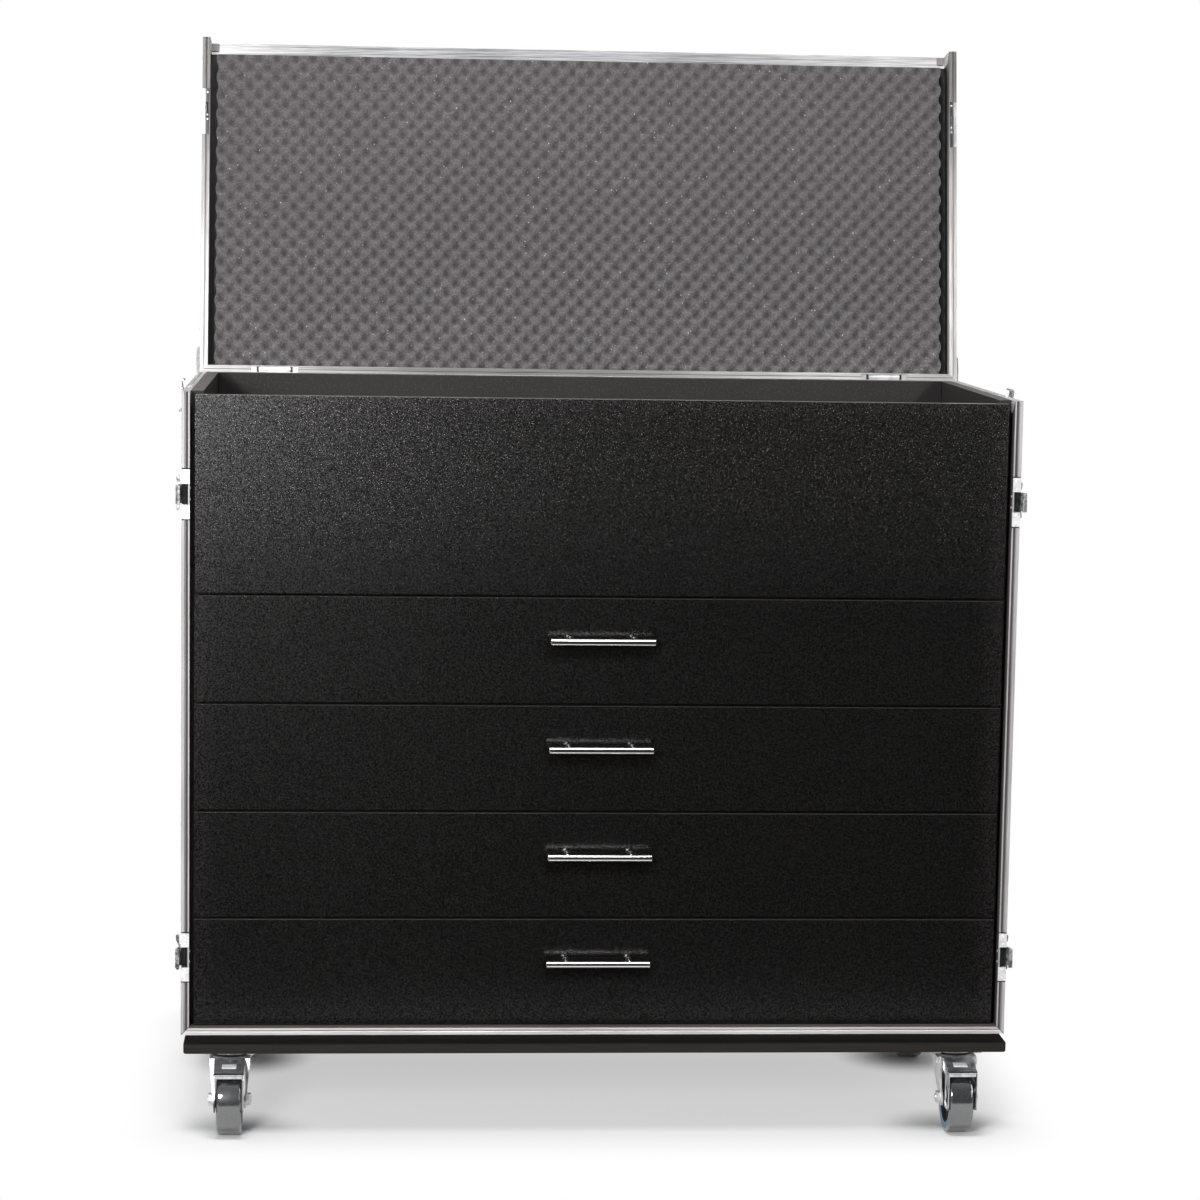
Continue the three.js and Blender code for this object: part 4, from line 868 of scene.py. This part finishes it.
def latch_claw(name):
    """Strap that the wing draws down over the catch, with its barrel and two rivets."""
    node = f"latch_claw_{name}"
    place = latch_place(name) @ Matrix.Translation((-5 * MM, -14 * MM, 0))
    place = place @ Matrix.Rotation(-CLAW_RELEASED, 4, "Z")
    form = Form()
    strap = mm((-1.1, 0), (1.1, 0), (8.4, 8), (8.4, 22.6), (7.6, 25.2), (6.2, 26), (1.5, 26), (1.5, 23.5),
               (5.1, 23.5), (6.2, 22.4), (6.2, 10.2), (0, 2.2))
    form.slab(strap, -13.5 * MM, 13.5 * MM, place)
    form.turned(mm((1.6, -13.5), (2.6, -13.5), (2.6, 13.5), (1.6, 13.5)), place, 24, loop=True)
    rivets(form, mm((8.4, 12.5, 0), (8.4, 18.5, 0)), X, place, radius=2 * MM, height=0.6 * MM)
    form.done(f"claw_{name}", [LATCH_ZINC], node, "zinc_steel", 0.4 * MM, [node])


def latch_dish_details(form, name):
    """A latch's rivets and hub washer and, at the front, a black sheet as painted shade in its mouth between
    two bright plates.
    """
    place = latch_place(name)
    corners = mm(*((0.1, back, along) for along in (-32, 32) for back in (-53, -28)))
    rivets(form, corners, X, place, radius=2.2 * MM)
    behind = [(-EDGE_WIDTH, -6 * MM, along * MM) for along in (-8, 8)]
    rivets(form, behind, -X, place, radius=1.7 * MM, height=0.9 * MM)
    washer = mm((4.4, 0), (12, 0), (12, 0.9), (11, 1.5), (4.4, 1.5))
    form.turned(washer, place @ facing(X, (-8.7 * MM, -WING_BACK, 0), Y), 40, loop=True)
    if name.startswith("lid"):
        return
    # Painted shade: a black sheet in the latch's mouth.
    form.block((0.6 * MM - EDGE_WIDTH, -4 * MM, -14.3 * MM), (-0.6 * MM, -3 * MM, 14.3 * MM), place, 1)
    for end in (-1, 1):
        low, high = sorted((end * 14.8 * MM, end * 35.2 * MM))
        form.block((0.4 * MM - EDGE_WIDTH, 0, low), (0.2 * MM, 0.9 * MM, high), place, 2)
        rivets(form, mm((-5.5, 0.9, end * 19), (-5.5, 0.9, end * 31)), Y, place, 2, 2 * MM, 0.8 * MM)


# Edging rivets
RIVET_INSET = 14 * MM
RIVET_PITCH = 150 * MM


def spread(start, end):
    """Places from start to end, about a rivet pitch apart."""
    gaps = max(1, round(abs(end - start) / RIVET_PITCH))
    return [start + (end - start) * i / gaps for i in range(gaps + 1)]


def body_rivets():
    form = Form()
    column = spread(BOTTOM + 45 * MM, RIM - 45 * MM)
    runs = ((BOTTOM + 30 * MM, BOTTOM + 66 * MM), (BOTTOM + 166 * MM, RIM - 196 * MM),
            (RIM - 96 * MM, RIM - 40 * MM))
    rim = (FRONT + 40 * MM, FRONT + 200 * MM, FRONT + 350 * MM, REAR - 40 * MM)
    for side in SIDES.values():
        x = side * HALF
        spots = [(x, REAR - RIVET_INSET, z) for z in column]
        spots += [(x, FRONT + RIVET_INSET, z) for run in runs for z in spread(*run)]
        spots += [(x, y, BOTTOM + RIVET_INSET) for y in spread(FRONT + 60 * MM, REAR - 60 * MM)]
        rivets(form, spots + [(x, y, RIM - RIVET_INSET) for y in rim], X * side)
        rivets(form, [(x - side * RIVET_INSET, REAR, z) for z in column], Y)
    spots = [(x, REAR, BOTTOM + RIVET_INSET) for x in spread(60 * MM - HALF, HALF - 60 * MM)]
    rivets(form, spots + [(x, REAR, RIM - RIVET_INSET) for x in spread(-400 * MM, 400 * MM)], Y)
    for name in LATCH_NAMES:
        latch_dish_details(form, name)
    form.done("body_rivets", [ZINC, MOUTH_SHADE, BRIGHT_PLATE], "body", "zinc_steel")


def lid_rivets():
    form = Form()
    column = spread(LID_FRONT + 60 * MM, LID_REAR - 70 * MM)
    row = spread(70 * MM - HALF, HALF - 70 * MM)
    rim = (LID_FRONT + 30 * MM, LID_FRONT + 190 * MM, LID_FRONT + 330 * MM, LID_REAR - 70 * MM)
    for side in SIDES.values():
        x = side * HALF
        spots = [(x, LID_FRONT + RIVET_INSET, (LID_RIM + LID_TOP) / 2)]
        spots += [(x, y, LID_TOP - RIVET_INSET) for y in column]
        rivets(form, spots + [(x, y, LID_RIM + RIVET_INSET) for y in rim], X * side, LID)
        rivets(form, [(x - side * RIVET_INSET, y, LID_TOP) for y in column], Z, LID)
    for y in (LID_REAR - RIVET_INSET, LID_FRONT + RIVET_INSET):
        rivets(form, [(x, y, LID_TOP) for x in row], Z, LID)
    spots = [(x, LID_REAR, LID_TOP - RIVET_INSET) for x in row]
    rivets(form, spots + [(x, LID_REAR, LID_RIM + RIVET_INSET) for x in spread(-400 * MM, 400 * MM)], Y, LID)
    form.done("lid_rivets", [ZINC], "lid", "zinc_steel")


# Casters
WHEEL_RADIUS = 50 * MM
WHEEL_OFFSET = 38 * MM
WHEEL_HALF = 18 * MM
SHOULDER = 4.5 * MM
RIBS = 8
FORK_TOP = 109 * MM
FORK_INSIDE = 20 * MM
FORK_THICKNESS = 3 * MM
FORK_FLARE = 6.5 * MM
FORK_FOOT = 37 * MM


def caster_places(row, side):
    """The place on the floor under a caster's swivel, and the middle of its axle."""
    swivel = pivot(f"caster_fork_{row}_{side}_swivel")
    return Matrix.Translation((swivel.x, swivel.y, 0)), pivot(f"caster_wheel_{row}_{side}_spin")


def wheel(row, side):
    """Elastic tyre on a moulded core with a pressed-in ball bearing on each side."""
    node = f"caster_wheel_{row}_{side}"
    _, axle = caster_places(row, side)
    place = facing(X, axle)
    form = Form()
    crown = WHEEL_RADIUS - SHOULDER
    tread = arc(crown, WHEEL_HALF - SHOULDER, SHOULDER, 0, 90, 6)
    wall = [(crown, WHEEL_HALF), *mm((39, 17.5), (37, 16.8))]
    form.turned(below(wall), place, 96, 1)
    form.turned(below(tread) + tread, place, 96, 0)
    form.turned(wall, place, 96, 1)
    core = mm((37, 16.8), (37, 15.6), (35.6, 15.6), (34.4, 14.4), (33.2, 7.2), (15, 6.4), (13.6, 8), (13, 19),
              (12.2, 19.6), (9.6, 19.6), (9.4, 18.8), (5.5, 18.8))
    form.turned(below(core), place, 72, 2)
    form.turned(core, place, 72, 2)
    for i in range(RIBS):
        turn = place @ Matrix.Rotation(2 * math.pi * i / RIBS, 4, "Z")
        for low, high in ((-13.5, -6), (6, 13.5)):
            form.block(*mm((13, -1.4, low), (34.6, 1.4, high)), turn, 2)
    form.done(f"wheel_{row}_{side}", [TREAD, BLUE_RUBBER, PLASTIC], node, "tyre", 0, [node])


def fork(row, side):
    """Pressed fork: crown, two legs that lean in towards the axle, and the axle bolt."""
    node = f"caster_fork_{row}_{side}"
    centre, axle = caster_places(row, side)
    form = Form()
    crown = mm((6.5, 109.5), (30, 109.5), (32, 107.6), (32, 105.4), (31.2, 104.6), (27, 106), (6.5, 106))
    form.turned(crown, centre, 72, loop=True)
    outline = [(26 * MM, FORK_TOP), (-34 * MM, FORK_TOP)]
    outline += arc(-WHEEL_OFFSET, WHEEL_RADIUS, 13 * MM, 180, 360, 16)
    slope = FORK_FLARE / (FORK_TOP - FORK_FOOT)
    inside = FORK_INSIDE - FORK_FOOT * slope
    for end in (-1, 1):
        lean = Matrix(((end, 0, slope * end, inside * end), (0, 1, 0, 0), (0, 0, 1, 0), (0, 0, 0, 1)))
        form.slab(outline[::-1], 0, FORK_THICKNESS, centre @ lean @ SIDE_ON)
        wedge = mm(*((end * x, y + back, z) for back in (0, 4) for x, y, z in (
            (22, -34, 109), (28, -34, 109), (23, -48.2, 60))))
        form.add(wedge, [(0, 1, 2), (3, 5, 4), (0, 3, 4, 1), (1, 4, 5, 2), (2, 5, 3, 0)], centre)
        face = facing(X * end, axle + X * end * 24.2 * MM)
        form.turned(mm((0, 0), (9.6, 0), (9.6, 1.4), (0, 1.4)), face, 36)
        form.slab(hexagon(16 * MM), 1.4 * MM, 6 * MM, face)
        form.turned(mm((0, 6), (4.6, 6), (4.2, 7.4), (0, 7.4)), face, 24)
        if row == "front":
            pin = mm((0, -6.5), (3, -6.5), (3, 2.6), (4.6, 3), (4.2, 4), (0, 4.4))
            form.turned(pin, facing(X * end, centre @ (Vector((end * 26, -30, 100)) * MM)), 24)
    form.turned(mm((0, -24.5), (5, -24.5), (5, 24.5), (0, 24.5)), facing(X, axle), 32)
    bmesh.ops.recalc_face_normals(form.mesh, faces=form.mesh.faces)
    form.done(f"fork_{row}_{side}", [ZINC], node, "zinc_steel", 0.5 * MM, [node])


def top_plate(row, side):
    """Plate with four bolts, and the ball race that hangs under it."""
    node = f"caster_plate_{row}_{side}"
    centre, _ = caster_places(row, side)
    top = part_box(node)[1].z
    under = top - 2.7 * MM
    form = Form()
    for x, y in SQUARE:
        face = facing(-Z, centre @ Vector((x * 30 * MM, y * 40 * MM, under)))
        form.turned(mm((0, 0), (9, 0), (9, 1.5), (0, 1.5)), face, 32)
        form.slab(hexagon(13 * MM), 1.5 * MM, 5 * MM, face)
    form.slab(rounded_outline(86 * MM, 105 * MM, 8 * MM), under, top, centre)
    race = mm((0, 97), (5.5, 97), (11, 98), (11, 105.1), (24, 110.4), (30, 110.8), (31, 112), (31, 116.5),
              (28.5, 119.5)) + [(26 * MM, under + 0.4 * MM), (0, under + 0.4 * MM)]
    form.turned(race, centre, 72)
    seal = mm((31.2, 110.2), (32.2, 110.8), (32.2, 112.4), (30.6, 112.8), (29.5, 110.4))
    form.turned(seal, centre, 72, 1, loop=True)
    form.done(f"top_plate_{row}_{side}", [ZINC, PLASTIC], "body", "zinc_steel", 0.4 * MM, [node])


def brake_pedal(side):
    """Stirrup pedal: a plate with a window and a turned-down lip, and an arm beside each wall of the tyre."""
    node = f"brake_pedal_{side}"
    centre, _ = caster_places("front", side)
    form = Form()
    half, wall = 21.3 * MM, 2 * MM
    back, tip = (Vector(end) for end in mm((-36, 110), (-88, 98.5)))
    run = tip - back
    length = run.length
    tread = centre @ Matrix.Translation((0, *back)) @ Matrix.Rotation(math.atan2(-run.y, -run.x), 4, "X")
    window = [(x * 10.5 * MM, y * 8 * MM - length / 2) for x, y in SQUARE]
    insert = [(x * 10.185 * MM, y * 7.68 * MM - length / 2) for x, y in SQUARE]
    form.slab([(-half, -length), (half, -length), (half, 0), (-half, 0)], -2.4 * MM, 0, tread, holes=[window])
    form.block((-half, -length, -6.4 * MM), (half, -length + 2.2 * MM, -1 * MM), tread)
    form.slab(insert, -2 * MM, -0.5 * MM, tread, 1)
    arm = arc(-30 * MM, 100 * MM, 5.5 * MM, -90, 90, 10) + mm((-36, 109), (-88, 97.5), (-88, 46))
    arm += arc(-84 * MM, 46 * MM, 4 * MM, 180, 270, 4) + arc(-67 * MM, 46 * MM, 4 * MM, 270, 360, 4)
    arm += mm((-63, 84), (-60, 89))
    for low, high in ((-half, wall - half), (half - wall, half)):
        form.slab(arm, low, high, centre @ SIDE_ON)
    form.done(f"pedal_{side}", [CHROME, PALE_PLASTIC], node, "zinc_steel", 0.5 * MM, [node])


# Side handles
GRIP_SPACING = 52 * MM
GRIP_DROP = 58 * MM
GRIP_HALF = 45 * MM
GRIP_SIDES = 28
GRIP_RINGS = 33
BAIL_CORNER = 9 * MM


def side_handle(side):
    """A round bail with a ribbed grip, and the rivets of its dish."""
    node = f"side_grip_{side}"
    outward = X * SIDES[side]
    place = axes(outward, Z.cross(outward), Z, pivot(f"{node}_lift"))
    form = Form()
    bend = arc(BAIL_CORNER - GRIP_SPACING, BAIL_CORNER - GRIP_DROP, BAIL_CORNER, 180, 270, 6)
    leg = [(0, -GRIP_SPACING, -i * 8 * MM) for i in range(6)] + [(0, y, z) for y, z in bend]
    form.swept(leg + [(x, -y, z) for x, y, z in reversed(leg)], 3.5 * MM, 20, place)
    for end in (-1, 1):
        pin = place @ facing(Y * end, (0, end * GRIP_SPACING, 0))
        form.turned(mm((0, -3), (3.5, -3), (3.5, 8.5), (0, 8.5)), pin, 24)
    rings = []
    for i in range(GRIP_RINGS):
        y = GRIP_HALF * (2 * i / (GRIP_RINGS - 1) - 1)
        scale = 1 - max(0, 1 - (GRIP_HALF - abs(y)) / (4 * MM)) ** 2 * 0.35
        rib = 0.35 * MM if i % 2 and 3 < i < 29 else 0
        for u, v in circle(1, GRIP_SIDES):
            x = (5.6 * MM * scale + rib) * u
            rings.append((x, y, (11 * MM * scale + rib) * v * (1 - 0.06 * u ** 2) - GRIP_DROP))
    form.add(rings, [face[::-1] for face in tube(GRIP_RINGS, GRIP_SIDES)], place, 1)
    form.done(f"grip_{side}", [CHROME, PLASTIC], node, "grip", 0, [node])
    plate = Form()
    low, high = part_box(f"handle_dish_{side}")
    spots = mm(*((0, y, z) for y in (-69, -23, 23, 69) for z in (-54, 54)))
    middle = Vector((SIDES[side] * HALF, (low.y + high.y) / 2, (low.z + high.z) / 2))
    rivets(plate, spots, outward, Matrix.Translation(middle), radius=2.4 * MM)
    plate.done(f"handle_rivets_{side}", [ZINC], "body", "zinc_steel")


# Catches and hinges
CATCH_PLACE = 118 * MM


def catch_rivets():
    form = Form()
    for side in SIDES.values():
        outer = LID @ Matrix.Translation((side * HALF, LID_FRONT + CATCH_PLACE, LID_RIM + 33 * MM))
        rivets(form, mm(*((0, y, 0) for y in (-32, -14, 14, 32))), X * side, outer, 0, 2.2 * MM, 0.8 * MM)
        under = LID @ Matrix.Translation((side * (HALF - 8.2 * MM), LID_FRONT + CATCH_PLACE, LID_RIM))
        rivets(form, mm(*((0, y, 0) for y in (-30, 5.5, 12.5))), -Z, under, 0, 1.6 * MM, 0.5 * MM)
    form.done("catch_rivets", [ZINC], "lid", "zinc_steel")


def hinge_rivets():
    body, lid = Form(), Form()
    for side in SIDES.values():
        middle = side * (HALF - HINGE_INSET)
        for form, place, z in ((body, Matrix.Translation(HINGE_PIN), -24), (lid, LID, 24)):
            spots = [(middle + x * MM, -1.2 * MM, z * MM) for x in (-28, 0, 28)]
            rivets(form, spots, Y, place, radius=2.4 * MM)
    body.done("hinge_rivets_body", [ZINC], "body", "zinc_steel")
    lid.done("hinge_rivets_lid", [ZINC], "lid", "zinc_steel")


def lid_corner_tabs():
    """Small folded braces in the two front corners of the lid."""
    form = Form()
    for side in SIDES.values():
        low, high = sorted((side * (HALF - 12.2 * MM), side * (HALF - 24 * MM)))
        form.block((low, LID_FRONT + 1 * MM, LID_TOP - 14 * MM),
                   (high, LID_FRONT + 13 * MM, LID_TOP - 12.2 * MM), LID)
    form.done("lid_corner_tabs", [DULL], "lid", "aluminium", 0.3 * MM)


# Stage
FLOOR_REACH = 12.0
SHADE_INSET = 0.06
SHADE_BEHIND = 0.1


def white_floor():
    """White paper: plain white to the eye away from the case. Near the case a dimmer glow paints a soft grey
    shadow patch, and the case's own shadows fall on it.
    """
    finish = Finish(bpy.data.materials.new("white_floor"))

    def distance(u, v):
        return (u * u + v * v).math("POWER", 0.5)

    def matt(level):
        return finish.node("ShaderNodeBsdfDiffuse", {"Color": (level, level, level, 1)})

    def glow(strength):
        return finish.node("ShaderNodeEmission", {"Color": (1, 1, 1, 1), "Strength": strength})

    def mix(factor, low, high):
        return finish.node("ShaderNodeMixShader", [factor, low, high])

    x, y, _ = finish.parts(finish.place())
    beside = (abs(x) - (HALF - SHADE_INSET)).larger(0)
    beyond = (abs(y) - (REAR + SHADE_BEHIND)).larger(0)
    far = distance(beside, beyond).between(0.0, 0.16)
    rays = finish.nodes.new("ShaderNodeLightPath")
    mirrored = Value(finish, rays.outputs["Is Glossy Ray"])
    seen = Value(finish, rays.outputs["Is Camera Ray"]).larger(mirrored)
    beneath = 1
    for row, side in CASTERS:
        _, axle = caster_places(row, side)
        beneath = distance(x - axle.x, y - axle.y).between(0.03, 0.13) * beneath
    # Painted shadow: near the case the paper glows dimmer, a soft grey patch under its real shading.
    painted_shadow_patch = finish.node("ShaderNodeAddShader", [matt(0.34), glow(0.53)])
    near = mix(seen, matt(0.8), mix(beneath, matt(0.86), painted_shadow_patch))
    behind_camera = (y * -1).between(0.55, 0.95) * mirrored
    plain = mix(behind_camera, glow(1.0), glow(0.04))
    mesh = bpy.data.meshes.new("floor")
    corners = [(x * FLOOR_REACH, y * FLOOR_REACH, 0) for x, y in SQUARE]
    mesh.from_pydata(corners, [], [(0, 1, 2, 3)])
    mesh.materials.append(finish.output(mix(far * seen, near, plain)))
    shown("floor", mesh)


def white_room():
    """White all round, with a dim stretch behind the camera that bright metal mirrors."""
    bpy.context.scene.world = bpy.data.worlds.new("white_room")
    room = Finish(bpy.context.scene.world)
    rays = room.nodes.new("ShaderNodeLightPath")
    seen = Value(room, rays.outputs["Is Camera Ray"])
    mirrored = Value(room, rays.outputs["Is Glossy Ray"])
    _, y, _ = room.parts(room.node("ShaderNodeTexCoord"))
    dim = (y * -1).between(0.3, 0.85) * (1 - seen)
    level = (0.42 + seen * 0.58 + mirrored * 0.3) * (1 - dim * 0.96)
    back = room.node("ShaderNodeBackground", {"Color": (1, 1, 1, 1), "Strength": level})
    room.output(back, "ShaderNodeOutputWorld")


def softbox(name, at, aim, size, power):
    data = bpy.data.lights.new(name, "AREA")
    data.shape = "RECTANGLE"
    data.size, data.size_y = size
    data.energy = power
    lamp = shown(name, data)
    lamp.location = at
    lamp.rotation_mode = "QUATERNION"
    lamp.rotation_quaternion = (Vector(aim) - Vector(at)).to_track_quat("-Z", "Y")


def studio_lamps():
    softbox("key", (-1.47, -3.95, 1.62), (0, FRONT, 0.8), (0.8, 0.8), 118)
    softbox("fill", (2.6, -3.6, 1.6), (0, FRONT, 0.7), (1.6, 1.6), 20)
    softbox("overhead", (-0.3, -1.6, 3.7), (0, 0, 0.9), (1.4, 1.0), 75)


def photograph_camera():
    data = bpy.data.cameras.new("camera")
    data.lens, data.sensor_width = LENS, SENSOR
    camera = shown("camera", data)
    bpy.context.scene.camera = camera
    place = Matrix.Translation((CAMERA_X, FRONT - CAMERA_BACK, CAMERA_HEIGHT))
    for angle, axis in ((-CAMERA_YAW, "Z"), (math.pi / 2 - CAMERA_PITCH, "X"), (CAMERA_ROLL, "Z")):
        place = place @ Matrix.Rotation(angle, 4, axis)
    camera.matrix_world = place


photograph_camera()
white_floor()
white_room()
studio_lamps()
bpy.context.scene.view_settings.view_transform = "Standard"
dress_panels()
foam_lining()
for number in DRAWERS:
    drawer_handle(number)
for latch in LATCH_NAMES:
    latch_wing(latch)
    latch_claw(latch)
body_rivets()
lid_rivets()
catch_rivets()
hinge_rivets()
lid_corner_tabs()
for row, side in CASTERS:
    wheel(row, side)
    fork(row, side)
    top_plate(row, side)
for side in SIDES:
    brake_pedal(side)
    side_handle(side)
